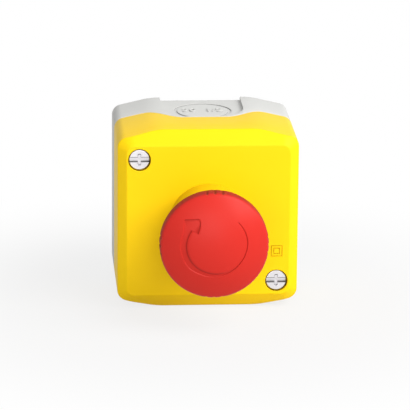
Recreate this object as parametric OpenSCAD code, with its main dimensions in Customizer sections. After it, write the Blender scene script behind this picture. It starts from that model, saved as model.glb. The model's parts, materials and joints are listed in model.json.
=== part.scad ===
// Emergency stop control station: a two-part moulded enclosure with one
// turn-to-release mushroom head in the lid and two contact blocks in the base.
// Every module is drawn lying on its back, with x to the right, y up and z as
// the depth from the wall, and upright() stands it against the wall plane.

/* [Enclosure] */
// Width of the enclosure
box_w = 68; // [66:1:76]
// Height of the enclosure over its crowned top and bottom
box_h = 69; // [67:1:76]
// Depth from the wall to the flat front face
box_depth = 53; // [52:1:60]
// Thickness of the side walls
wall_t = 2.3; // [2.2:0.1:2.8]
// Thickness of the front wall
face_t = 2.5; // [2:0.1:3]
// Thickness of the back plate
back_t = 2.5; // [2:0.1:3]
// Half width of the flat middle of the top and bottom edges
crown_flat = 16; // [14:0.5:18]
// Radius of the curve that leads from the flat middle towards the corners
crown_r = 28; // [22:1:34]
// Angle through which the top edge turns before the corner
crown_turn = 13; // [11:0.5:15]
// Radius of the outer corners
corner_r = 4; // [3.5:0.5:6]

/* [Front face] */
// Width of the bevel round the face, measured at the sides
bevel_w = 3.4; // [2.4:0.2:4.4]
// Depth of the bevel, measured at the sides
bevel_d = 2.6; // [2:0.2:3.6]
// Height of the flat front face
face_h = 57.2; // [55:0.2:59]
// Corner radius of the flat front face
face_corner_r = 3; // [2.5:0.5:6]

/* [Lid joint] */
// Depth of the parting line at the sides
seam_side = 20.5; // [19:0.5:23]
// Depth of the parting line over the cable entries
seam_mid = 30.5; // [30:0.5:33]
// Half width of the forward part of the parting line
seam_flat = 8; // [6:1:10]
// Distance from the middle at which the parting line is back at the side depth
seam_end = 24; // [20:1:26]
// Gap between lid and base along the parting line
seam_gap = 0.25; // [0.1:0.05:0.4]
// Thickness of the tongue on the base
tongue_t = 1; // [0.8:0.1:1.2]
// Height of the tongue above the parting line
tongue_h = 2.2; // [1.5:0.1:3]
// Clearance round the tongue
tongue_gap = 0.3; // [0.2:0.05:0.4]
// Height of the sealing cord in the lid
gasket_t = 1; // [0.8:0.1:1.6]

/* [Cable entries] */
// Diameter of the knock-out plate
entry_d = 20.4; // [18:0.2:21]
// Distance of the knock-out centre from the wall
entry_depth = 16.5; // [16:0.5:17]
// Width of the groove round the knock-out
entry_groove_w = 1; // [0.8:0.1:1.2]
// Depth of the groove round the knock-out
entry_groove_d = 1.6; // [1.2:0.1:1.8]
// Width of the arched land that the knock-out lies in
land_w = 31.2; // [30:0.2:32]
// Depth of the arched land below the crown
land_d = 1.3; // [1.1:0.1:1.5]
// Extra wall thickness inside behind the land
entry_pad_t = 1.3; // [1:0.1:1.6]

/* [Wall fixing] */
// Distance between the two wall fixing holes
fix_spacing = 54; // [50:1:56]
// Diameter of the wall fixing holes
fix_d = 4.3; // [3.5:0.1:5.3]
// Height of the boss round each fixing hole above the back plate
fix_boss_h = 1.5; // [1:0.1:3]

/* [Lid screws] */
// Distance of a lid screw from the side edge
screw_edge_x = 8.1; // [7.9:0.1:9]
// Distance of a lid screw from the top or bottom of the crown
screw_edge_y = 10.7; // [10.3:0.1:12]
// Nominal thread diameter of a lid screw
screw_d = 4; // [3:0.5:4]
// Diameter of the screw head
screw_head_d = 8; // [7:0.2:8.4]
// Height of the screw head
screw_head_h = 3.2; // [2.4:0.1:3.4]
// Depth of the well that the head sits in
well_depth = 4; // [3.6:0.1:5]
// Radial room round the screw head in its well
well_gap = 0.35; // [0.2:0.05:0.5]
// Height of the screw posts in the base, from the wall
post_top = 19.5; // [18:0.5:22]
// Distance of the screw tip from the wall
screw_tip = 9; // [7:0.5:12]

/* [Mushroom head] */
// Diameter of the head
head_d = 40; // [36:1:42]
// Distance from the front face to the crown of the head
head_proj = 38; // [36:1:42]
// Height of the head from its rear edge to its crown
head_h = 14; // [12:0.5:15]
// Radius of the low dome
dome_r = 38; // [34:1:60]
// Radius of the rounded shoulder between dome and rim
shoulder_r = 3.5; // [2.5:0.5:5]
// Thickness of the dome and of the rim
head_t = 2.2; // [1.8:0.1:3]
// Radius of each grip notch in the rim
notch_r = 0.6; // [0.4:0.1:0.8]
// Angle between the notches of one group
notch_step = 9; // [8:0.5:12]
// Diameter of the hub that pushes on the mechanism
hub_d = 14; // [13:0.5:14]
// Outer diameter of the skirt that telescopes into the collar
skirt_d = 23.8; // [23.4:0.1:24.2]
// Wall thickness of the skirt
skirt_t = 1.3; // [1:0.1:1.4]
// Length of the skirt inside the collar at rest
skirt_lap = 3; // [2:0.5:4]
// Travel of the head when it is pressed
press_travel = 4.3; // [4:0.1:4.6]

/* [Collar and sleeve] */
// Diameter of the collar at the front face
collar_d = 29; // [28.5:0.5:32]
// Height of the collar
collar_h = 12; // [11:0.5:13]
// Amount by which the collar radius shrinks towards its top
collar_taper = 0.9; // [0.5:0.1:1.2]
// Outer diameter of the threaded sleeve
sleeve_d = 22; // [21:0.5:22.5]
// Bore of the sleeve
sleeve_bore = 17.2; // [17:0.1:17.4]
// Diameter of the flange that clamps on the front face
flange_d = 25.6; // [25:0.1:25.8]
// Thickness of that flange
flange_t = 1.3; // [1:0.1:1.6]
// Thickness of the ring seal under the flange
ring_seal_t = 0.9; // [0.6:0.1:1.2]
// Length of the sleeve behind its spring ledge
sleeve_tail = 4; // [3:0.5:5]
// Thickness of the fixing nut
nut_t = 4.8; // [4:0.2:6]
// Outer diameter of the fixing nut
nut_d = 29; // [27:0.5:30]

/* [Release mechanism] */
// Thickness of the lip seal round the hub
wiper_t = 1.4; // [1:0.1:1.8]
// Thickness of the release cam
cam_t = 1.8; // [1.4:0.1:2]
// Thickness of the front flange of the pusher
pusher_flange_t = 1.9; // [1.6:0.1:2]
// Wire diameter of the return spring
spring_wire = 0.9; // [0.7:0.1:1]
// Thickness of the spring ledge in the sleeve
ledge_t = 2; // [1.5:0.1:2.5]
// Diameter of the pusher stem
stem_d = 11.6; // [11:0.2:11.8]
// Diameter of the spindle
spindle_d = 6; // [5:0.5:6]
// Thickness of the pusher plate
plate_t = 3.2; // [2.8:0.1:3.6]
// Diameter of the pusher plate
plate_d = 19; // [17.5:0.5:20]
// Diameter of the latch pins
pin_d = 1.6; // [1.2:0.1:1.6]

/* [Contact blocks] */
// Width of one contact block
block_w = 11; // [10.4:0.1:11.4]
// Length of one contact block
block_l = 34; // [33:0.5:37]
// Height of the housing above the back plate
block_h = 19.5; // [19:0.1:20.5]
// Distance between the two block centres
block_pitch = 12; // [11.8:0.1:13]
// Thickness of the block cover
cover_t = 1.5; // [1.2:0.1:1.8]
// Width of the cavity in a block
cavity_w = 7.2; // [7:0.1:7.6]
// Length of the terminal end on each side of the middle cavity
terminal_l = 6.5; // [6:0.1:7]
// Thickness of the contact strips
strip_t = 0.8; // [0.6:0.1:1]
// Width of the contact strips
strip_w = 4.8; // [4:0.2:5.2]
// Height of the plunger guide on the block cover
guide_h = 2.2; // [1.6:0.1:2.6]
// Diameter of a contact plunger
plunger_d = 3.2; // [2.8:0.1:3.6]
// Wire diameter of a contact spring
contact_wire = 0.5; // [0.4:0.1:0.6]

/* [Hidden] */
$fn = 64;

// Small distances that are the same all over the part
eps = 0.01;
over = 1;
touch = 0.2;
run_gap = 0.05;
seat_gap = 0.1;

// Colours of the mouldings and metals
yellow = [0.98, 0.82, 0.12];
light_grey = [0.81, 0.81, 0.79];
red = [0.86, 0.2, 0.17];
black = [0.12, 0.12, 0.13];
zinc = [0.8, 0.8, 0.8];
brass = [0.8, 0.65, 0.3];
rubber = [0.18, 0.18, 0.18];
acetal = [0.88, 0.88, 0.85];
nc_red = [0.8, 0.18, 0.15];
no_green = [0.16, 0.55, 0.25];

// Arc centres of the crowned outline
crown_c = [crown_flat, box_h / 2 - crown_r];
crown_n = [sin(crown_turn), cos(crown_turn)];
corner_x = box_w / 2 - corner_r;
crown_reach = crown_n * crown_c + crown_r - corner_r;
corner_c = [corner_x, (crown_reach - crown_n.x * corner_x) / crown_n.y];

// Cable entries
land_rim = 0.8;
land_wall = 1.2;
fix_boss_t = 3;
relief_mid_x = 5;
relief_mid_y = 7;
relief_side = 12;
relief_end = 9;
relief_d = 0.6;

// Lid joint
lip_t = wall_t - tongue_t - tongue_gap;
gasket_rear = tongue_h + touch;
rebate_d = gasket_rear + gasket_t;

// Lid screws
screw_x = box_w / 2 - screw_edge_x;
screw_y = box_h / 2 - screw_edge_y;
screw_core_d = screw_d * 0.78;
well_floor = box_depth - well_depth;
well_r = screw_head_d / 2 + well_gap;
base_post_r = screw_d / 2 + 2;
lid_post_r = base_post_r - seat_gap;
post_rib_t = 1.4;
slot_w = 1.8;
slot_d = 1.4;
cross_w = 1.1;
cross_l = 3.8;
head_edge = 0.5;
well_wall = 1.4;
nut_ring_t = 1.2;
lid_post_end = post_top + touch;
retainer_t = 1;
retainer_r = lid_post_r - 0.9;

// Contact block stack
block_top = back_t + block_h;
cover_top = block_top + cover_t;
guide_top = cover_top + guide_h;
guide_wall = 1.3;
block_floor_t = 2.5;
floor_z = back_t + block_floor_t;
strip_drop = 5;
strip_z = block_top - strip_drop;
pocket_d = 3.6;
cavity_l = block_l - 2 * terminal_l;
rib_y = 1.1;
pocket_y = cavity_l / 2 + rib_y;
terminal_y = (pocket_y + block_l / 2) / 2;
strip_end = 0.6;
rivet_h = 0.6;
rivet_r = 1.3;
rivet_y = 5.6;
rivet_edge = 0.1;
bridge_t = 0.7;
bridge_w = 4.4;
bridge_l = 2 * (rivet_y + rivet_r + 2 * rivet_edge);
closed_gap = 0.12;
// Underside of the bridge in the block that is closed at rest
nc_bridge_z = strip_z - 2 * rivet_h - closed_gap - bridge_t;
// Foot of the fixed contacts in the block that closes when pressed
no_foot_z = nc_bridge_z - press_travel - closed_gap - 2 * rivet_h - strip_t;
no_bridge_z = nc_bridge_z;
slider_top = block_top - touch;
slider_foot = 2.4;
slider_rear = nc_bridge_z - slider_foot;
slider_w = cavity_w - 4 * touch;
slider_l = 6.4;
window_h = 3;
tip_chamfer = 0.5;
spring_pin_r = 1.2;
spring_pin_l = 2;
centre_rib_t = block_pitch - block_w - 2 * seat_gap;
centre_rib_h = 4;
hook_t = 1.3;
hook_w = 4;
hook_nose = 0.8;
hook_h = 1.4;
hook_y = 7;
hook_rise = 9;
hook_z = back_t + hook_rise;
clamp_t = 0.9;
clamp_w = 5.8;
clamp_l = 4.6;
clamp_hole_r = 1.6;
terminal_head_r = 2.5;
terminal_head_h = 2;
terminal_slot_w = 0.7;
terminal_slot_d = 1;
terminal_shank = 3;

// Head stack, between the crown and the contact blocks
head_front = box_depth + head_proj;
head_rear = head_front - head_h;
head_r = head_d / 2;
head_edge_r = 1.2;
hub_r = hub_d / 2;
hub_sink = 0.5;
socket_floor = 2;
head_rib_t = 1.4;
head_rib_low = 3;
head_rib_high = 4.5;
skirt_r = skirt_d / 2;
skirt_room = 0.4;
collar_room = 0.3;
collar_round = 1;
collar_top = box_depth + collar_h;
sleeve_drop = 1.7;
sleeve_front = collar_top - sleeve_drop;
wiper_rear = sleeve_front - wiper_t - seat_gap;
cam_front = wiper_rear - 2 * touch;
cam_rear = cam_front - cam_t;
cam_w = 9;
pusher_front = cam_rear - touch;
pusher_flange_rear = pusher_front - pusher_flange_t;
latch_z = pusher_front - press_travel + touch + pin_d / 2;
plate_room = 1;
plate_rear = guide_top + press_travel + plate_room;
plate_rim = 0.6;
plunger_tip = plate_rear - touch;
stem_rear = plate_rear + plate_t;
stem_gap = 1.8;
sleeve_rear = stem_rear + stem_gap;
ledge_rear = sleeve_rear + sleeve_tail;
ledge_front = ledge_rear + ledge_t;
bore_r = sleeve_bore / 2;
slide_room = 0.3;
pusher_r = bore_r - slide_room;
stem_r = stem_d / 2;
spindle_r = spindle_d / 2;
press_gap = 0.02;
lobe_r = pusher_r;
sleeve_r = sleeve_d / 2;
sleeve_key_w = 2.8;
sleeve_key_h = 1.1;
neck_r = skirt_r - skirt_t - skirt_room;
key_w = 2.4;
key_h = 0.7;
clip_t = 0.7;
clip_wall = 1;
clip_r = spindle_r + clip_wall;
clip_groove = 0.6;
clip_mouth = 3.2;
pin_in_r = bore_r + seat_gap;
latch_wire = 0.7;
latch_ring_r = neck_r + seat_gap;
pin_out_r = latch_ring_r - latch_wire / 2 - eps;
latch_angles = [-60, 120];
nut_notch_r = 1.8;
nut_notch_out = 0.6;
nut_rim = 1;

// Point list of an arc
function arc(c, r, from, to, n) =
    [for (i = [0:n]) c + r * [cos(from + (to - from) * i / n),
                              sin(from + (to - from) * i / n)]];
function flip(p, sx, sy) = [for (q = p) [q.x * sx, q.y * sy]];
function backwards(p) = [for (i = [len(p) - 1:-1:0]) p[i]];
function quarter(inset) =
    concat(arc(crown_c, crown_r - inset, 90, 90 - crown_turn, 8),
           arc(corner_c, corner_r - inset, 90 - crown_turn, 0, 6));
function outline(inset) =
    let (q = quarter(inset))
    concat(q, backwards(flip(q, 1, -1)), flip(q, -1, -1),
           backwards(flip(q, -1, 1)));

// Depth of the parting line: a cosine wave between the side and middle depth
function seam_blend(t) = (1 + cos(180 * t)) / 2;
function seam_point(t, extra) =
    [seam_flat + t * (seam_end - seam_flat),
     seam_side + (seam_mid - seam_side) * seam_blend(t) + extra];
function seam_half(extra) = [for (i = [0:10]) seam_point(i / 10, extra)];

// Points and faces of a coil spring with half a flat turn at each end
function coil_rise(u, turns) =
    min(1, max(0, (u * turns - 0.5) / (turns - 1)));
function coil_points(r, wire, turns, z0, z1, per_turn, sides) =
    [for (i = [0:turns * per_turn])
        for (j = [0:sides - 1])
            let (a = 360 * i / per_turn, b = 360 * j / sides,
                 rr = r + wire / 2 * cos(b),
                 z = z0 + wire / 2 + (z1 - z0 - wire)
                     * coil_rise(i / (turns * per_turn), turns))
            [rr * cos(a), rr * sin(a), z + wire / 2 * sin(b)]];
function coil_faces(rings, sides) =
    concat([[for (j = [0:sides - 1]) j]],
           [for (i = [0:rings - 2]) for (j = [0:sides - 1])
               let (k = (j + 1) % sides)
               [i * sides + j, (i + 1) * sides + j,
                (i + 1) * sides + k, i * sides + k]],
           [[for (j = [sides - 1:-1:0]) (rings - 1) * sides + j]]);

module upright() {
    rotate([90, 0, 0]) children();
}

module tube(r_out, r_in, z0, z1) {
    translate([0, 0, z0])
        difference() {
            cylinder(r = r_out, h = z1 - z0);
            translate([0, 0, -over]) cylinder(r = r_in, h = z1 - z0 + 2 * over);
        }
}

module disc(r, z0, z1) {
    translate([0, 0, z0]) cylinder(r = r, h = z1 - z0);
}

module block(x0, x1, y0, y1, z0, z1) {
    translate([x0, y0, z0]) cube([x1 - x0, y1 - y0, z1 - z0]);
}

module prism(inset, z0, z1) {
    translate([0, 0, z0]) linear_extrude(z1 - z0) polygon(outline(inset));
}

// Extrudes an outline of x and depth upwards from y0
module along_y(y0, h) {
    translate([0, y0 + h, 0]) rotate([90, 0, 0]) linear_extrude(h) children();
}

module both_ends() {
    children();
    mirror([0, 1, 0]) children();
}

module coil(r, wire, turns, z0, z1, per_turn, sides) {
    polyhedron(coil_points(r, wire, turns, z0, z1, per_turn, sides),
               coil_faces(turns * per_turn + 1, sides));
}

// Everything nearer to the wall than the parting line
module behind_seam(extra) {
    right = seam_half(extra);
    edge = box_w / 2 + over;
    side = seam_side + extra;
    along_y(-box_h / 2 - over, box_h + 2 * over)
        polygon(concat([[-edge, -over], [-edge, side]],
                       backwards(flip(right, -1, 1)), right,
                       [[edge, side], [edge, -over]]));
}

// Block with the bevelled front: a rounded rectangle that grows backwards
module bevelled(front) {
    slope = bevel_w / bevel_d;
    fall = front + over;
    hw = box_w / 2 - bevel_w;
    hh = face_h / 2;
    grow = slope * fall;
    cx = hw - face_corner_r;
    cy = hh - face_corner_r;
    translate([0, cy, 0]) rotate([90, 0, 0])
        linear_extrude(2 * cy)
            polygon([[-hw, front], [hw, front],
                     [hw + grow, front - fall], [-hw - grow, front - fall]]);
    rotate([90, 0, 90])
        translate([0, 0, -cx]) linear_extrude(2 * cx)
            polygon([[-hh, front], [hh, front],
                     [hh + grow, front - fall], [-hh - grow, front - fall]]);
    for (sx = [-1, 1], sy = [-1, 1])
        translate([sx * cx, sy * cy, front - fall])
            cylinder(r1 = face_corner_r + grow, r2 = face_corner_r, h = fall);
}

module at_lid_screws() {
    for (s = [-1, 1])
        translate([s * screw_x, -s * screw_y, 0]) children();
}

// Arched land of the cable entry, in x and depth, with a rim left at the parting line
module land_shape(grow) {
    r = land_w / 2 + grow;
    intersection() {
        union() {
            translate([-r, -over]) square([2 * r, entry_depth + over]);
            translate([0, entry_depth]) circle(r = r);
        }
        translate([-r, -over]) square([2 * r, seam_mid - land_rim + over]);
    }
}

module entry_ring(r, y0, h) {
    translate([0, y0 + h, entry_depth]) rotate([90, 0, 0])
        cylinder(r = r, h = h);
}

module entry_cut() {
    land_y = box_h / 2 - land_d;
    along_y(land_y, land_d + over) land_shape(0);
    groove_y = land_y - entry_groove_d;
    difference() {
        entry_ring(entry_d / 2 + entry_groove_w, groove_y, entry_groove_d + over);
        entry_ring(entry_d / 2, groove_y - over, entry_groove_d + 3 * over);
    }
}

// Post for a lid screw with two ribs that tie it to the walls
module lid_screw_post() {
    intersection() {
        prism(wall_t / 2, back_t / 2, post_top);
        at_lid_screws() disc(base_post_r, back_t / 2, post_top);
    }
    intersection() {
        prism(wall_t / 2, back_t / 2, post_top - over);
        for (s = [-1, 1])
            translate([s * screw_x, -s * screw_y, back_t / 2]) {
                translate([s > 0 ? 0 : -screw_edge_x, -post_rib_t / 2, 0])
                    cube([screw_edge_x, post_rib_t, post_top]);
                translate([-post_rib_t / 2, s > 0 ? -screw_edge_y : 0, 0])
                    cube([post_rib_t, screw_edge_y, post_top]);
            }
    }
}

// Snap hooks that hold the outer flank of each contact block
module block_hooks() {
    for (s = [-1, 1], y = [-1, 1]) {
        x = s * (block_pitch / 2 + block_w / 2 + seat_gap + hook_t / 2);
        z1 = hook_z + touch + hook_h;
        translate([x, y * hook_y, 0]) {
            block(-hook_t / 2, hook_t / 2, -hook_w / 2, hook_w / 2, back_t / 2, z1);
            translate([0, hook_w / 2, 0]) rotate([90, 0, 0]) linear_extrude(hook_w)
                polygon([[0, hook_z + touch],
                         [-s * (hook_t / 2 + hook_nose), hook_z + touch],
                         [-s * hook_t / 2, z1], [0, z1]]);
        }
    }
}

module base_housing() {
    upright() color(light_grey) difference() {
        union() {
            intersection() {
                difference() {
                    prism(0, 0, seam_mid + over);
                    prism(wall_t, back_t, seam_mid + 2 * over);
                }
                behind_seam(0);
            }
            intersection() {
                difference() {
                    prism(wall_t - tongue_t, seam_side - over, seam_mid + rebate_d);
                    prism(wall_t, seam_side - 2 * over, seam_mid + rebate_d + over);
                }
                behind_seam(tongue_h);
            }
            both_ends() intersection() {
                along_y(box_h / 2 - wall_t - entry_pad_t,
                        entry_pad_t + (wall_t - land_d) / 2) land_shape(land_wall);
                disc(box_w, back_t / 2, seam_mid);
            }
            lid_screw_post();
            for (s = [-1, 1]) translate([s * fix_spacing / 2, 0, 0])
                disc(fix_d / 2 + fix_boss_t, back_t / 2, back_t + fix_boss_h);
            block_hooks();
            block(-centre_rib_t / 2, centre_rib_t / 2,
                  -block_l / 2, block_l / 2, back_t / 2, back_t + centre_rib_h);
        }
        both_ends() entry_cut();
        for (s = [-1, 1]) translate([s * fix_spacing / 2, 0, 0])
            disc(fix_d / 2, -over, back_t + fix_boss_h + over);
        at_lid_screws() disc(screw_core_d / 2 + seat_gap, screw_tip - over, post_top + over);
        for (sx = [-1, 1], sy = [-1, 1])
            scale([sx, sy, 1])
                block(relief_mid_x, box_w / 2 - relief_side,
                      relief_mid_y, box_h / 2 - relief_end, -over, relief_d);
    }
}

// Stands a piece of a contact block in its place: -1 is the block that opens
module at_block(s) {
    upright() translate([s * block_pitch / 2, 0, 0]) children();
}

// Contact block housing: middle cavity for the slider, a pocket for each terminal
module block_housing(s) {
    at_block(s) difference() {
        block(-block_w / 2, block_w / 2, -block_l / 2, block_l / 2, back_t, block_top);
        block(-cavity_w / 2, cavity_w / 2, -cavity_l / 2, cavity_l / 2,
              floor_z, block_top + over);
        both_ends() {
            block(-cavity_w / 2, cavity_w / 2, pocket_y, block_l / 2 + over,
                  strip_z - pocket_d, block_top + over);
            block(-strip_w / 2 - seat_gap, strip_w / 2 + seat_gap, pocket_y - 2, pocket_y + over,
                  strip_z - seat_gap, strip_z + strip_t + seat_gap);
            translate([s * block_w / 2, hook_y, 0])
                block(-hook_nose - seat_gap, hook_nose + seat_gap,
                      -hook_w / 2 - 2 * touch, hook_w / 2 + 2 * touch,
                      hook_z, hook_z + hook_h + 3 * touch);
        }
    }
}

module block_cover(s) {
    hole_r = plunger_d / 2 + run_gap;
    at_block(s) difference() {
        union() {
            block(-block_w / 2, block_w / 2, -pocket_y, pocket_y, block_top, cover_top);
            disc(hole_r + guide_wall, block_top, guide_top);
        }
        disc(hole_r, block_top - over, guide_top + over);
    }
}

// Fixed contact at one end: straight strip, or a cranked one that reaches a lower foot
module fixed_contact(foot_z) {
    end_y = block_l / 2 - strip_end;
    tip_y = rivet_y - rivet_r - rivet_edge;
    cranked = foot_z < strip_z;
    leg_y = cavity_l / 2 - seat_gap - strip_t;
    difference() {
        union() {
            block(-strip_w / 2, strip_w / 2, cranked ? leg_y : tip_y, end_y,
                  strip_z, strip_z + strip_t);
            if (cranked) {
                block(-strip_w / 2, strip_w / 2, leg_y, leg_y + strip_t,
                      foot_z, strip_z + strip_t);
                block(-strip_w / 2, strip_w / 2, tip_y, leg_y + strip_t,
                      foot_z, foot_z + strip_t);
                translate([0, rivet_y, 0])
                    disc(rivet_r, foot_z + strip_t / 2, foot_z + strip_t + rivet_h);
            }
            if (!cranked)
                translate([0, rivet_y, 0])
                    disc(rivet_r, strip_z - rivet_h, strip_z + strip_t / 2);
        }
        translate([0, terminal_y, 0])
            disc(clamp_hole_r, strip_z - over, strip_z + strip_t + over);
    }
}

// Square pressure plates over the outer ends of the contact strips
module clamps(s) {
    z0 = strip_z + strip_t;
    at_block(s) both_ends() translate([0, terminal_y, 0]) difference() {
        block(-clamp_w / 2, clamp_w / 2, -clamp_l / 2, clamp_l / 2, z0, z0 + clamp_t);
        disc(clamp_hole_r, z0 - over, z0 + 2 * over);
    }
}

module terminal_screws(s) {
    z0 = strip_z + strip_t + clamp_t;
    z1 = z0 + terminal_head_h;
    at_block(s) both_ends() translate([0, terminal_y, 0]) difference() {
        union() {
            disc(terminal_head_r, z0, z1);
            disc(clamp_hole_r - seat_gap, strip_z - terminal_shank, z0 + over);
        }
        block(-terminal_head_r - over, terminal_head_r + over,
              -terminal_slot_w / 2, terminal_slot_w / 2, z1 - terminal_slot_d, z1 + over);
    }
}

// Moving slider of a contact block with a window that carries the bridge
module slider(s) {
    at_block(s) difference() {
        union() {
            block(-slider_w / 2, slider_w / 2, -slider_l / 2, slider_l / 2,
                  slider_rear, slider_top);
            disc(plunger_d / 2, slider_top - over, plunger_tip - tip_chamfer);
            translate([0, 0, plunger_tip - tip_chamfer])
                cylinder(r1 = plunger_d / 2, r2 = plunger_d / 2 - tip_chamfer,
                         h = tip_chamfer);
            disc(spring_pin_r, slider_rear - spring_pin_l, slider_rear + over);
        }
        block(-bridge_w / 2 - seat_gap, bridge_w / 2 + seat_gap, -slider_l, slider_l,
              nc_bridge_z, nc_bridge_z + window_h);
    }
}

// Moving bridge: a bar with a contact rivet near each end
module bridge(s, z0, rivets_front) {
    r0 = rivets_front ? z0 + bridge_t / 2 : z0 - rivet_h;
    r1 = rivets_front ? z0 + bridge_t + rivet_h : z0 + bridge_t / 2;
    at_block(s) {
        block(-bridge_w / 2, bridge_w / 2, -bridge_l / 2, bridge_l / 2,
              z0, z0 + bridge_t);
        both_ends() translate([0, rivet_y, 0]) disc(rivet_r, r0, r1);
    }
}

module contact_spring(s) {
    at_block(s)
        coil(spring_pin_r + contact_wire / 2 + 0.3, contact_wire, 5, floor_z + eps, slider_rear - eps, 14, 6);
}

// One module for each sub-part of the two contact blocks
module nc_block_housing() { color(light_grey) block_housing(-1); }
module nc_block_cover() { color(black) block_cover(-1); }
module nc_contacts() { color(brass) at_block(-1) both_ends() fixed_contact(strip_z); }
module nc_clamps() { color(zinc) clamps(-1); }
module nc_terminal_screws() { color(zinc) terminal_screws(-1); }
module nc_plunger() { color(nc_red) slider(-1); }
module nc_bridge() { color(brass) bridge(-1, nc_bridge_z, true); }
module nc_spring() { color(zinc) contact_spring(-1); }
module no_block_housing() { color(light_grey) block_housing(1); }
module no_block_cover() { color(black) block_cover(1); }
module no_contacts() { color(brass) at_block(1) both_ends() fixed_contact(no_foot_z); }
module no_clamps() { color(zinc) clamps(1); }
module no_terminal_screws() { color(zinc) terminal_screws(1); }
module no_plunger() { color(no_green) slider(1); }
module no_bridge() { color(brass) bridge(1, no_bridge_z, false); }
module no_spring() { color(zinc) contact_spring(1); }

// Tube inside the lid that guides one screw
module lid_screw_tube() {
    disc(well_r + well_wall, well_floor - well_wall - head_edge, box_depth - face_t / 2);
    disc(lid_post_r, lid_post_end, well_floor);
}

module lid_screw_bore() {
    disc(well_r, well_floor, box_depth + over);
    disc(screw_d / 2 + 0.25, lid_post_end - over, well_floor + over);
    disc(retainer_r + run_gap, lid_post_end - over, lid_post_end + retainer_t + touch);
}

module key_slot(r_out, w, z0, z1) {
    block(-w / 2, w / 2, 0, r_out, z0, z1);
}

module lid() {
    inner_front = box_depth - face_t;
    hole_r = sleeve_r + 0.15;
    upright() color(yellow) difference() {
        union() {
            difference() {
                intersection() {
                    prism(0, seam_side - over, box_depth);
                    bevelled(box_depth);
                }
                intersection() {
                    prism(wall_t, -over, inner_front);
                    bevelled(inner_front);
                }
                behind_seam(seam_gap);
                intersection() {
                    prism(lip_t, 0, seam_mid + rebate_d + over);
                    behind_seam(rebate_d);
                }
            }
            intersection() {
                prism(wall_t / 2, 0, box_depth - face_t / 2);
                at_lid_screws() lid_screw_tube();
            }
            tube(nut_d / 2 + 0.7 + nut_ring_t, nut_d / 2 + 0.7,
                 inner_front - 2, inner_front + face_t / 2);
        }
        at_lid_screws() lid_screw_bore();
        disc(hole_r, inner_front - over, box_depth + over);
        key_slot(sleeve_r + sleeve_key_h + slide_room, sleeve_key_w + 2 * touch,
                 inner_front - over, box_depth + over);
    }
}

module lid_gasket() {
    upright() color(rubber) difference() {
        intersection() {
            difference() {
                prism(lip_t + seat_gap, seam_side, seam_mid + rebate_d);
                prism(wall_t, 0, seam_mid + rebate_d + over);
            }
            behind_seam(rebate_d);
        }
        behind_seam(gasket_rear);
    }
}

module lid_screws() {
    head_top = well_floor + screw_head_h;
    upright() color(zinc) at_lid_screws() difference() {
        union() {
            disc(screw_head_d / 2, well_floor, head_top - head_edge);
            translate([0, 0, head_top - head_edge])
                cylinder(r1 = screw_head_d / 2, r2 = screw_head_d / 2 - head_edge,
                         h = head_edge);
            disc(screw_d / 2 - run_gap, lid_post_end, well_floor + eps);
            disc(screw_core_d / 2, screw_tip, lid_post_end + eps);
        }
        block(-screw_head_d, screw_head_d, -slot_w / 2, slot_w / 2,
              head_top - slot_d, head_top + over);
        block(-cross_w / 2, cross_w / 2, -cross_l / 2, cross_l / 2,
              head_top - slot_d, head_top + over);
    }
}

module screw_retainers() {
    z0 = lid_post_end + touch;
    upright() color(black) at_lid_screws()
        tube(retainer_r, screw_d / 2, z0, z0 + retainer_t - touch);
}

module collar() {
    r0 = collar_d / 2;
    r1 = r0 - collar_taper;
    top = collar_top;
    under = box_depth + ring_seal_t + flange_t + touch;
    upright() color(yellow) difference() {
        rotate_extrude()
            polygon(concat([[0, box_depth], [r0, box_depth]],
                           arc([r1 - collar_round, top - collar_round], collar_round, 0, 90, 6),
                           [[0, top]]));
        disc(flange_d / 2 + 0.25, box_depth - over, under);
        disc(skirt_r + collar_room, under - over, top + over);
    }
}

module ring_seal() {
    upright() color(rubber)
        tube(flange_d / 2 - touch, sleeve_r + 0.3, box_depth, box_depth + ring_seal_t);
}

module head_sleeve() {
    seat_z = box_depth + ring_seal_t;
    upright() color(black) difference() {
        union() {
            disc(sleeve_r, sleeve_rear, seat_z + eps);
            disc(flange_d / 2, seat_z, seat_z + flange_t);
            disc(neck_r, seat_z, sleeve_front);
            key_slot(sleeve_r + sleeve_key_h, sleeve_key_w,
                     box_depth - face_t + touch, box_depth - touch);
        }
        disc(bore_r, ledge_front, sleeve_front + over);
        disc(stem_r + slide_room, sleeve_rear - over, ledge_front + over);
        disc(bore_r, sleeve_rear - over, ledge_rear);
        for (a = [0, 180]) rotate(a)
            block(0, bore_r + key_h + touch, -key_w / 2 - touch, key_w / 2 + touch,
                  pusher_flange_rear - press_travel - over, sleeve_front - wiper_t - 3 * touch);
        for (a = latch_angles) rotate(a)
            translate([0, 0, latch_z]) rotate([0, 90, 0])
                cylinder(d = pin_d + seat_gap, h = sleeve_r + over);
        tube(sleeve_r + over, latch_ring_r - latch_wire / 2 - seat_gap,
             latch_z - latch_wire / 2 - seat_gap, latch_z + latch_wire / 2 + seat_gap);
    }
}

module fixing_nut() {
    z1 = box_depth - face_t;
    upright() color(black) difference() {
        disc(nut_d / 2, z1 - nut_t, z1);
        disc(sleeve_r + run_gap, z1 - nut_t - over, z1 + over);
        for (a = [0:30:330]) rotate(a)
            translate([nut_d / 2 + nut_notch_out, 0, z1 - nut_t - over])
                cylinder(r = nut_notch_r, h = nut_t - nut_rim + over);
    }
}

module wiper_seal() {
    z1 = wiper_rear + wiper_t;
    upright() color(rubber) tube(bore_r - run_gap, hub_r + 0.15, wiper_rear, z1);
}

module latch_pins() {
    upright() color(zinc)
        for (a = latch_angles) rotate(a)
            translate([pin_in_r, 0, latch_z]) rotate([0, 90, 0])
                cylinder(d = pin_d, h = pin_out_r - pin_in_r);
}

module latch_ring() {
    upright() color(zinc) translate([0, 0, latch_z])
        rotate_extrude() translate([latch_ring_r, 0]) circle(d = latch_wire, $fn = 24);
}

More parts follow.
